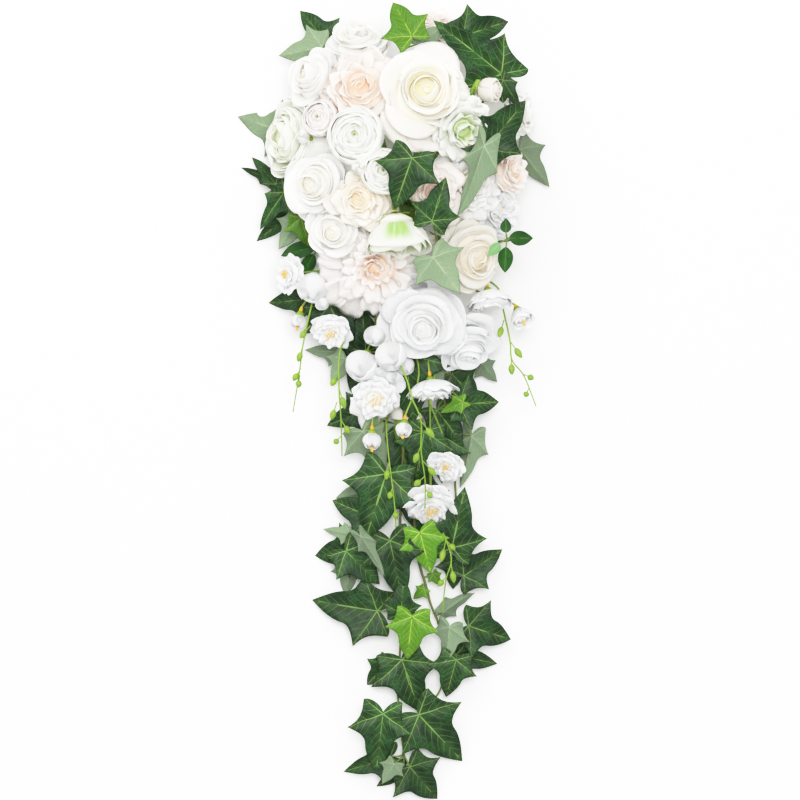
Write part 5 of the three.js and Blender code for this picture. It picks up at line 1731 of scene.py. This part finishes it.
@dataclass
class BoundStems(Piece):
    """The stems of all blooms, taped together at the knot and on into the handle."""

    blooms: tuple[Bloom, ...]
    buds: tuple["LoneBud", ...]
    bundle: int = 13
    inner: int = 4
    stem_r: float = 3.1 * MM

    def add_to(self, skin: Skin) -> None:
        """Adds the taped knot, the handle's bundle, and a stem with a calyx to every flower.

        Args:
            skin: The piece's mesh.
        """
        down = HANDLE_END - BINDING
        stand = Stand(BINDING, down)
        self.add_tape(skin, stand)
        self.add_bundle(skin, stand, float(np.linalg.norm(down)))
        for bloom in self.blooms:
            self.add_stem(skin, bloom, bloom.kind.value.foot)
            bloom.add_calyx(skin)
        for bud in self.buds:
            self.add_stem(skin, bud, -0.1)

    def add_tape(self, skin: Skin, stand: Stand) -> None:
        """Adds the tape round the knot: a ball drawn out downwards, with a ridge at each turn.

        Args:
            skin: The piece.
            stand: The handle's axis, from the knot's middle.
        """
        heights = np.linspace(-0.9, 2.6, 60)
        ball = np.sqrt(np.maximum(1 - heights**2, 0))
        body = np.where(heights < 0, ball, 1 - 0.3 * smooth(heights, 0.1, 1.6))
        turn = full_turn(TAPE_SIDES)
        ridge = (heights[:, None] * 3.2 - turn / (2 * np.pi)) % 1.0
        profile = HUB_R * np.stack([0.96 * body, heights], axis=-1)
        skin.add(turned(profile, stand, TAPE_SIDES, 0.5 * MM * ridge), TAPE)

    def add_bundle(self, skin: Skin, stand: Stand, length: float) -> None:
        """Adds the stems side by side in the handle, each with a cut end of its own length.

        Args:
            skin: The piece.
            stand: The handle's axis, from the knot's middle.
            length: How far the stems reach along it.
        """
        for index in range(self.bundle):
            inner = index < self.inner
            turn = 2 * np.pi * index / (self.inner if inner else self.bundle - self.inner)
            reach = (0.32 if inner else 0.72) * HANDLE_R
            s = np.linspace(0.1, 1, 14)
            splay = 1 + 0.12 * smooth(s, 0.85, 1.0)
            end = length + 3 * MM * np.sin(5 * index)
            path = stand.world(polar(reach * splay, turn + 0.5 * s, end * s))
            skin.add(tube(path, self.stem_r, 12), GREEN_STEM)
            tip = np.array([path[-1], path[-1] + 0.4 * MM * unit(path[-1] - path[-2])])
            skin.add(tube(tip, 0.92 * self.stem_r, 12), CUT_END)

    def add_stem(self, skin: Skin, flower: "Bloom | LoneBud", foot: float) -> None:
        """Adds the stem from the knot to the foot of a flower, and its swelling under the calyx.

        Args:
            skin: The piece.
            flower: The flower.
            foot: How far it reaches below its base, as a share of its radius.
        """
        top = flower.base + flower.axis * (foot - 0.1) * flower.radius
        below = top - flower.axis * 0.3 * flower.radius
        root = BINDING + unit(below - BINDING) * 0.6 * HUB_R
        path = smooth_path(np.array([root, below, top]), 14)
        swell = STEM_R * (1 + 0.6 * smooth(np.linspace(0, 1, 14), 0.8, 1.0))
        skin.add(tube(path, swell, 9), GREEN_STEM)


@dataclass
class Ribbon(Piece):
    """The ribbon wound round the handle, each turn lapping the last."""

    first: float = 44 * MM
    short: float = 20 * MM  # how far before the stems' ends it stops
    lap: float = 0.9 * MM
    sides: int = 64

    def add_to(self, skin: Skin) -> None:
        """Adds the winding.

        Its outside is a tube whose radius grows by the lap over each turn of a helix and steps back
        where the next turn starts. Creases run along the turns. The inside is a plain tube.

        Args:
            skin: The piece's mesh.
        """
        down = HANDLE_END - BINDING
        last = float(np.linalg.norm(down)) - self.short
        inner = HANDLE_R + 0.45 * MM
        turn = full_turn(self.sides)
        way = np.linspace(self.first, last, 120)[:, None]
        place = ((way - self.first) / RIBBON_TURN + turn / (2 * np.pi)) % 1.0
        step = self.lap * smooth(place, 0.0, 0.93) * (1 - smooth(place, 0.95, 1.0))
        crease = 0.16 * MM * np.sin(place * 21 + 2 * np.sin(turn)) * np.sin(3 * turn + way * 90)
        outer = inner + RIBBON_THICK + step + crease
        inside = np.full((2, self.sides), inner)
        reach = np.concatenate([inside[:1], outer, inside])
        ends = [[last], [0.5 * (self.first + last)]]
        rise = np.concatenate([[[self.first]], way, ends]) + 0 * turn
        rows = len(reach)
        cell = np.arange(rows * self.sides).reshape(rows, self.sides)
        right, above = np.roll(cell, -1, axis=1), np.roll(cell, -1, axis=0)
        quads = np.stack([cell, right, np.roll(above, -1, axis=1), above], axis=-1).reshape(-1, 4)
        uv = np.stack([turn / (2 * np.pi) + 0 * reach, rise / last], axis=-1).reshape(-1, 2)
        points = Stand(BINDING, down).world(polar(reach, turn, rise).reshape(-1, 3))
        skin.add(Shape(points, quads, NO_TRIANGLES, uv), RIBBON_SATIN)


@dataclass
class LoneBud(Piece):
    """A single closed bud on its own stem."""

    cell: Cell
    height: float
    face: Triple
    radius_mm: float

    def __post_init__(self) -> None:
        """Works out where the bud stands."""
        self.radius = self.radius_mm * MM
        self.axis = unit(self.face)
        self.base = at(self.cell, self.height) - 0.7 * self.radius * self.axis

    def add_to(self, skin: Skin) -> None:
        """Adds the bud and a small calyx."""
        BallBud(at(self.cell, self.height), self.axis, self.radius).add_to(skin, GREEN_EYE)
        add_cup(skin, self.base, self.axis, 0.4 * self.radius, 0.0)


BLOOMS = (
    Bloom("lisianthus_green", Kind.RUFFLED, IVORY_GREEN, (465, 130), 105, (0.4, -0.3, 0.87), 28, 0.6),
    Bloom("rose_cream_large", Kind.ROSE, CREAM, (427, 92), 108, (0.05, 0.12, 1), 41, 0.3),
    Bloom("ranunculus_green_eye", Kind.RANUNCULUS, GREEN_EYE, (384, 171), 120, (-0.08, 0, 1), 20, 1.1),
    Bloom("ranunculus_white", Kind.RANUNCULUS, GREEN_EYE, (356, 136), 116, (-0.12, 0.05, 1), 25, 0.4),
    Bloom("rose_blush_top", Kind.GARDEN_ROSE, BLUSH, (361, 88), 93, (-0.15, 0.25, 1), 36, 0.9),
    Bloom("rose_champagne", Kind.GARDEN_ROSE, CHAMPAGNE, (360, 200), 108, (-0.1, -0.1, 1), 25, 0.2),
    Bloom("rose_white_left", Kind.ROSE, WHITE, (317, 183), 88, (-0.42, -0.05, 0.9), 34, 1.9),
    Bloom("tulip_green_streak", Kind.CUP, IVORY_STREAK, (397, 233), 108, (0.08, -0.97, 0.2), 28, 1.98),
    Bloom("dahlia_blush", Kind.DAHLIA, BLUSH_PALE, (377, 270), 90, (-0.03, -0.3, 0.95), 48, 0.1),
    Bloom("rose_blush_centre", Kind.GARDEN_ROSE, BLUSH_RUST, (434, 192), 104, (0.1, 0, 1), 25, 0.7),
    Bloom("rose_white_right", Kind.RUFFLED, WHITE, (470, 184), 86, (0.4, 0, 0.9), 27, 1.3),
    Bloom("ranunculus_blush", Kind.RANUNCULUS, BLUSH_PALE, (321, 119), 90, (-0.4, 0.15, 0.9), 16, 0.8),
    Bloom("rose_white_lower_left", Kind.SMALL_ROSE, WHITE, (335, 230), 88, (-0.3, -0.2, 0.95), 25, 2.6),
    Bloom("rose_cream_right", Kind.SMALL_ROSE, CREAM_PALE, (475, 256), 76, (0.45, -0.3, 0.85), 29, 0.5),
    Bloom("rose_white_large", Kind.ROSE, COOL_WHITE, (424, 322), 76, (-0.12, -0.5, 0.85), 38, 1.5),
    Bloom("ruffled_white_right", Kind.RUFFLED, COOL_WHITE, (500, 209), 62, (0.65, -0.15, 0.75), 27, 0.3),
    Bloom("rose_white_upper_left", Kind.SMALL_ROSE, WHITE, (314, 78), 62, (-0.7, 0.35, 0.75), 29, 0.2),
    Bloom("rose_white_top", Kind.ROSE, WHITE, (359, 40), 60, (-0.15, 0.85, 0.65), 30, 0.4),
    Bloom("peony_ivory_left", Kind.PEONY, IVORY_PLEATED, (291, 138), 46, (-0.85, 0.05, 0.55), 35, 0.9),
    Bloom("rose_blush_right", Kind.GARDEN_ROSE, BLUSH, (511, 171), 60, (0.75, 0.15, 0.65), 22, 0.6),
    Bloom("rosebud_right", Kind.ROSEBUD, CREAM_PALE, (484, 90), 78, (0.85, -0.1, 0.4), 11, 0.2),
    Bloom("rose_blush_back", Kind.GARDEN_ROSE, BLUSH_PALE, (436, 24), 40, (0.1, 0.95, 0.35), 23, 0.1),
    Bloom("rose_white_far_right", Kind.SMALL_ROSE, WHITE, (521, 112), 36, (0.9, 0.1, 0.35), 22, 0.9),
    Bloom(
        "rose_white_lower_right", Kind.SMALL_ROSE, COOL_WHITE, (466, 348), 48, (0.25, -0.75, 0.6), 28, 1.2
    ),
)

LONE_BUDS = (
    LoneBud("bud_white_left", (303, 136), 82, (-0.6, 0, 0.8), 6.5),
    LoneBud("bud_white_centre", (360, 167), 122, (-0.1, -0.1, 1), 7),
)

BLOSSOM, NODDING, BELL, BUD, BALL = Kind.BLOSSOM, Kind.NODDING, Kind.BELL, Kind.CLOSED_BELL, None
SPRAYS = (
    Spray("blossom_spray_left", ((330, 270, 50),), (
        Head(BLOSSOM, (287, 274), 50, (-0.7, -0.1, 0.7), 15),
        Head(BLOSSOM, (331, 332), 48, (-0.1, -0.5, 0.85), 20),
        Head(BUD, (299, 319), 42, (-0.2, -0.95, 0.3), 8),
    )),
    Spray("bud_cluster_left", ((322, 256, 46),), (
        Head(BALL, (313, 288), 53, (-0.3, -0.7, 0.6), 14.5),
        Head(BALL, (322, 304), 58, (0.3, -0.9, 0.4), 6),
    )),
    Spray("bud_cluster_centre", ((392, 264, 52), (386, 322, 46)), (
        Head(BALL, (375, 336), 54, (-0.2, -0.8, 0.6), 10),
        Head(BALL, (362, 366), 52, (-0.3, -0.8, 0.6), 15),
        Head(BALL, (391, 356), 66, (0.2, -0.7, 0.7), 14),
        Head(BALL, (404, 366), 48, (0.3, -0.8, 0.5), 9.5),
        Head(BALL, (393, 377), 56.5, (0, -0.95, 0.3), 6.4),
    )),
    Spray("blossom_spray_centre", ((408, 264, 53), (408, 330, 45)), (
        Head(BLOSSOM, (376, 398), 50, (-0.1, -0.35, 0.95), 26, (381, 352, 32)),
        Head(NODDING, (431, 388), 47, (0.1, -0.95, 0.14), 21, (428, 352, 36)),
        Head(BUD, (404, 427), 52, (-0.1, -0.9, 0.4), 8, (419, 374, 46)),
        Head(BUD, (372, 438), 48, (0, -0.9, 0.45), 9, (381, 352, 32)),
    )),
    Spray("blossom_spray_right", ((474, 290, 52),), (
        Head(NODDING, (489, 298), 62, (0.15, -0.95, 0.16), 20),
        Head(BELL, (520, 315), 50, (0.35, -0.75, 0.6), 10),
    )),
    Spray("blossom_spray_low", ((434, 264, 38), (438, 340, 34), (430, 404, 42)), (
        Head(BLOSSOM, (446, 466), 42, (-0.3, -0.4, 0.85), 15),
        Head(BLOSSOM, (431, 508), 36, (0, -0.75, 0.6), 24),
    )),
)

STRANDS = (
    Strand(
        "bud_strand_far_left",
        ((344, 262, 30), (318, 290, 34), (310, 312, 56), (303, 345, 64), (299, 375, 60), (293, 412, 50)),
        (((310, 326), (300, 338)), ((303, 345), (298, 362)), ((301, 368), (293, 381)),
         ((300, 375), (298, 388))),
    ),
    Strand(
        "bud_strand_left",
        ((356, 290, 38), (350, 326, 34), (340, 352, 52), (339, 388, 58), (341, 420, 52), (342, 456, 44)),
        (((339, 372), (331, 386)), ((339, 388), (345, 409)), ((337, 402), (331, 420)),
         ((341, 420), (350, 434)), ((341, 436), (334, 444))),
    ),
    Strand(
        "bud_strand_centre",
        ((398, 264, 56), (398, 330, 58), (398, 358, 66), (407, 380, 76), (412, 398, 82), (421, 421, 78),
         (421, 450, 70), (425, 480, 62), (425, 508, 56)),
        (((421, 421), (434, 438)), ((421, 446), (414, 463)), ((423, 461), (436, 476)),
         ((425, 476), (414, 486)), ((425, 488), (432, 498))),
    ),
    Strand(
        "bud_strand_inner",
        ((378, 270, 28), (376, 340, 24), (384, 384, 26), (386, 420, 34), (388, 450, 42), (394, 500, 44),
         (396, 528, 38)),
        (((389, 462), (386, 480)), ((393, 486), (389, 499)), ((395, 506), (396, 519))),
    ),
    Strand(
        "bud_strand_right",
        ((450, 262, 30), (496, 286, 34), (504, 313, 42), (510, 341, 56), (512, 360, 56), (524, 376, 52),
         (536, 406, 42)),
        (((504, 320), (499, 337)), ((510, 341), (522, 358)), ((511, 356), (512, 375)),
         ((523, 374), (534, 379)), ((529, 388), (525, 397))),
    ),
    Strand(
        "bud_strand_low",
        ((430, 262, 26), (428, 340, 20), (430, 440, 20), (430, 480, 20), (436, 514, 22), (449, 548, 36),
         (451, 563, 38), (446, 580, 36), (442, 613, 28)),
        (((446, 540), (441, 562)), ((446, 540), (455, 550)), ((451, 563), (454, 583)),
         ((447, 576), (438, 586))),
    ),
)

BLADE = Outline.BLADE
VINES = (
    Vine("ivy_vine_left", ((398, 330, 30), (392, 400, 38), (378, 450, 24), (372, 500, 14),
         (362, 550, 12), (352, 566, 12)), (
        Leaf((363, 431, 36), (386, 468, 26), 1.15, flip=True),
        Leaf((386, 474, 36), (365, 541, 28), 0.98),
        Leaf((366, 492, 9), (336, 498, 5), flip=True),
        Leaf((373, 518, 22), (331, 500, 15)),
        Leaf((350, 534, 17), (323, 529, 13), 0.7, flip=True),
        Leaf((346, 551, 24), (380, 585, 18)),
        Leaf((350, 566, 5), (346, 596, 2.5), flip=True),
        Leaf((361, 536, 40), (385, 576, 36), 0.4, 20, True),
        Leaf((356, 549, 10), (314, 556, 4), 1.1),
        Leaf((366, 352, 20), (362, 308, 24), 1.2),
        Leaf((372, 396, 16), (346, 372, 12), 1.2),
        Leaf((366, 410, 20), (326, 426, 14), 0.9),
    )),
    Vine("ivy_vine_centre", ((402, 330, 26), (404, 420, 36), (402, 480, 20), (400, 540, 12),
         (404, 600, 10), (400, 650, 10), (398, 700, 9), (404, 755, 8)), (
        Leaf((424, 432, 32), (416, 482, 26)),
        Leaf((390, 541, 28), (403, 602, 20), 0.85),
        Leaf((420, 533, 30), (431, 574, 22), young=0.9),
        Leaf((377, 611, 16), (311, 600, 7), 0.9),
        Leaf((401, 613, 24), (404, 578, 25)),
        Leaf((412, 617, 34), (407, 661, 27), young=1.0),
        Leaf((402, 660, 20), (420, 713, 11), 1.05),
        Leaf((386, 664, 12), (366, 686, 4)),
        Leaf((383, 714, 27), (376, 774, 18), 0.85),
        Leaf((390, 757, 16), (343, 772, 9), 0.7),
        Leaf((410, 767, 12), (438, 800, 4), 1.15),
        Leaf((404, 768, 5), (376, 787, 2.5), 0.7),
        Leaf((394, 764, 23), (382, 784, 20), flip=True, young=0.4),
        Leaf((405, 352, 40), (414, 424, 35)),
        Leaf((432, 378, 33), (428, 344, 38), flip=True, young=0.3),
        Leaf((412, 484, 16), (424, 536, 10), 1.1),
        Leaf((398, 428, 16), (410, 484, 12), 1.2),
    )),
    Vine("ivy_vine_right", ((430, 330, 24), (442, 390, 30), (452, 440, 18), (456, 500, 12),
         (458, 548, 11), (462, 572, 10)), (
        Leaf((459, 404, 36), (500, 402, 26), 1.1),
        Leaf((463, 402, 50), (440, 413, 48), 0.7, young=0.9),
        Leaf((437, 410, 26), (463, 445, 20)),
        Leaf((472, 436, 13), (461, 488, 8), 0.6, 15, True),
        Leaf((482, 364, 13), (497, 382, 9), flip=True),
        Leaf((452, 548, 26), (465, 487, 30), 0.85),
        Leaf((464, 576, 16), (503, 549, 10), 0.9),
        Leaf((456, 560, 12), (453, 590, 5)),
        Leaf((452, 374, 22), (478, 402, 16), 1.2),
        Leaf((446, 438, 22), (442, 484, 16)),
    )),
    Vine("ivy_vine_low", ((412, 470, 20), (415, 530, 12), (419, 562, 10), (426, 586, 10),
         (431, 605, 10), (439, 625, 9), (446, 655, 9), (440, 690, 8), (420, 714, 8)), (
        Leaf((433, 574, 12), (441, 586, 10), young=0.9),
        Leaf((424, 589, 12), (413, 599, 10), young=0.9),
        Leaf((443, 612, 14), (474, 592, 10), 0.6, 30, True, 0.3),
        Leaf((469, 626, 22), (512, 640, 12), 1.1),
        Leaf((456, 660, 22), (446, 698, 14), 1.05),
        Leaf((456, 655, 11), (498, 664, 6), 0.8),
        Leaf((450, 627, 26), (445, 663, 20), roll=30, flip=True),
        Leaf((419, 715, 18), (463, 762, 6)),
    )),
    Vine("ivy_sprig_top_left", ((384, 190, 30), (352, 110, 22), (336, 60, 28), (324, 46, 30)), (
        Leaf((322, 47, 32), (279, 56, 24), 0.95, flip=True),
        Leaf((328, 44, 22), (299, 9, 14), 0.85),
    )),
    Vine("ivy_sprig_top", ((404, 200, 44), (402, 130, 46), (398, 66, 60), (402, 50, 78)), (
        Leaf((412, 36, 92), (392, 0, 80), young=1.0),
        Leaf((418, 44, 76), (444, 26, 68), flip=True, young=0.3),
    )),
    Vine("ivy_sprig_top_right", ((420, 195, 30), (470, 120, 24), (492, 90, 34), (500, 76, 50)), (
        Leaf((464, 36, 62), (511, 20, 46), 0.85),
        Leaf((502, 74, 64), (434, 20, 78), 0.66),
        Leaf((503, 80, 66), (521, 110, 62), 0.6, -10),
    )),
    Vine("ivy_sprig_right", ((430, 206, 30), (474, 156, 40), (490, 150, 84)), (
        Leaf((486, 149, 104), (527, 99, 84), 0.8),
        Leaf((485, 146, 122), (458, 218, 112), 0.45, 25, True),
    )),
    Vine("ivy_sprig_far_right", ((424, 222, 20), (470, 190, 10), (508, 160, 14), (519, 150, 17)), (
        Leaf((520, 149, 18), (549, 187, 8), 0.75, flip=True),
        Leaf((522, 160, 7), (551, 186, 0.8), 0.5),
    )),
    Vine("ivy_sprig_centre", ((410, 205, 44), (412, 168, 96), (412, 160, 138)), (
        Leaf((412, 158, 146), (394, 210, 136), 1.05),
    )),
    Vine("ivy_sprig_low", ((420, 236, 36), (438, 243, 66), (437, 241, 100), (434, 227, 128)), (
        Leaf((432, 221, 131), (446, 177, 136), 0.95),
        Leaf((433, 257, 112), (460, 293, 98), 1.1, flip=True),
    )),
    Vine("ivy_sprig_left", ((386, 216, 22), (330, 180, 8), (296, 162, 5), (284, 150, 4)), (
        Leaf((286, 132, 5), (238, 117, 0.8), flip=True),
        Leaf((276, 184, 18), (251, 156, 12), 0.55),
        Leaf((272, 180, 10), (240, 167, 4), 0.4),
    )),
    Vine("ivy_sprig_left_low", ((386, 232, 18), (330, 226, 12), (300, 214, 22)), (
        Leaf((284, 192, 38), (259, 230, 28), 0.6, 10),
        Leaf((294, 212, 20), (255, 242, 6), 0.55),
        Leaf((301, 218, 54), (309, 248, 46), young=0.8),
        Leaf((296, 222, 36), (279, 249, 26), flip=True),
    )),
    Vine("ivy_sprig_lower_left", ((390, 250, 14), (350, 290, 12), (322, 300, 18)), (
        Leaf((312, 299, 22), (268, 303, 8), 0.8),
        Leaf((338, 352, 20), (305, 350, 10), 0.7, flip=True),
        Leaf((345, 358, 26), (331, 384, 18), flip=True),
        Leaf((330, 306, 38), (352, 352, 32), 1.2),
    )),
    Vine("ruscus_sprig_right", ((426, 240, 22), (470, 244, 20), (512, 240, 50), (507, 239, 92)), (
        Leaf((509, 238, 93), (534, 238, 84), 1.5, outline=BLADE),
        Leaf((506, 247, 92), (505, 273, 82), 1.5, outline=BLADE),
        Leaf((506, 233, 97), (506, 218, 96), 2.0, outline=BLADE),
        Leaf((500, 243, 98), (488, 256, 100), 1.6, flip=True, outline=BLADE),
    ), RUSCUS_LEAF),
    Vine("ruscus_sprig_left", ((388, 262, 16), (352, 272, 22), (330, 262, 34), (314, 250, 40)), (
        Leaf((316, 246, 42), (279, 256, 30), 1.1, outline=BLADE),
        Leaf((314, 254, 36), (300, 278, 26), 1.3, outline=BLADE),
        Leaf((344, 276, 30), (350, 324, 34), 1.4, outline=BLADE),
        Leaf((352, 276, 26), (374, 318, 30), 1.4, outline=BLADE),
    ), RUSCUS_LEAF),
)


@dataclass
class Studio:
    """The pale floor, the soft lights and the camera high above."""

    floor_side: float = 14.0
    world_strength: float = 0.78
    key_power: float = 16.0
    front_power: float = 36.0
    brightest: float = 1.6
    shoulder: tuple[tuple[float, float], ...] = (
        (0.0, 0.0), (0.1, 0.1), (0.25, 0.28), (0.5, 0.605), (0.9, 0.875), (1.25, 0.965), (1.6, 1.0),
    )

    def build(self) -> None:
        """Sets up the floor, the lights, the camera and the exposure."""
        self.add_floor()
        self.add_lights()
        self.add_camera()
        self.set_exposure()

    def add_floor(self) -> None:
        """Adds a square floor in a pale matt finish with faint mottling."""
        half = 0.5 * self.floor_side
        mesh = bpy.data.meshes.new("floor")
        corners = [(-half, -half, 0.0), (half, -half, 0.0), (half, half, 0.0), (-half, half, 0.0)]
        mesh.from_pydata(corners, [], [(0, 1, 2, 3)])
        paper = bpy.data.materials.new("Pale paper")
        paper.use_nodes = True
        shader = paper.node_tree.nodes["Principled BSDF"]
        w = Wiring(paper.node_tree)
        tone = w.tone(w.noise(w.place(), 30.0), 0.985, 1.0)
        w.feed(w.scaled(shade("fbfbfb"), tone), shader.inputs["Base Color"])
        put(shader, {"Roughness": 0.9, "Specular IOR Level": 0.1})
        mesh.materials.append(paper)
        floor = show("floor", mesh)

    def add_lights(self) -> None:
        """Adds a bright surround, a key light from the top left and a broad light from the front."""
        world = bpy.data.worlds.new("studio")
        bpy.context.scene.world = world
        world.use_nodes = True
        surround = world.node_tree.nodes["Background"]
        put(surround, {"Color": (1.0, 1.0, 1.0, 1.0), "Strength": self.world_strength})
        self.add_lamp("key", (-0.8, 1.4, 1.5), 1.2, self.key_power)
        self.add_lamp("front", (0.15, 0.35, 2.3), 0.9, self.front_power)

    def add_lamp(self, name: str, place: Triple, side: float, power: float) -> None:
        """Adds a square soft light that faces the bouquet.

        Args:
            name: Its name.
            place: Where it hangs.
            side: Length of its sides.
            power: Its power, in watts.
        """
        lamp = bpy.data.lights.new(name, "AREA")
        lamp.shape = "SQUARE"
        lamp.size = side
        lamp.energy = power
        made = show(name, lamp)
        made.location = place
        made.rotation_euler = Vector(place).to_track_quat("Z", "Y").to_euler()

    def add_camera(self) -> None:
        """Adds a camera that looks straight down, far enough away to look nearly flat."""
        lens = bpy.data.cameras.new("camera")
        lens.sensor_width = SENSOR_MM
        lens.lens = SENSOR_MM * EYE_HEIGHT / (VIEW_CELLS * CELL)
        lens.clip_end = 50.0
        camera = show("camera", lens)
        camera.location = (SIDE_SHIFT, UP_SHIFT, EYE_HEIGHT)
        bpy.context.scene.camera = camera

    def set_exposure(self) -> None:
        """Gives the view the soft shoulder of a bright exposure, so that white petals keep shade."""
        view = bpy.context.scene.view_settings
        view.view_transform = "Standard"
        view.use_curve_mapping = True
        curves = view.curve_mapping
        curves.white_level = (self.brightest,) * 3
        tone = curves.curves[3]
        for light, shown in self.shoulder[1:-1]:
            tone.points.new(light / self.brightest, shown)
        curves.update()


def main() -> None:
    """Builds the studio and every piece of the bouquet."""
    logging.basicConfig(level=logging.INFO, format="%(name)s %(message)s")
    Studio().build()
    ROOMS.extend(bloom.room() for bloom in BLOOMS)
    handle = (BoundStems("bound_stems", BLOOMS, LONE_BUDS), Ribbon("ribbon_wrap"))
    for piece in (*handle, *BLOOMS, *LONE_BUDS, *SPRAYS, *STRANDS, *VINES):
        piece.build()


if __name__ == "__main__":
    main()
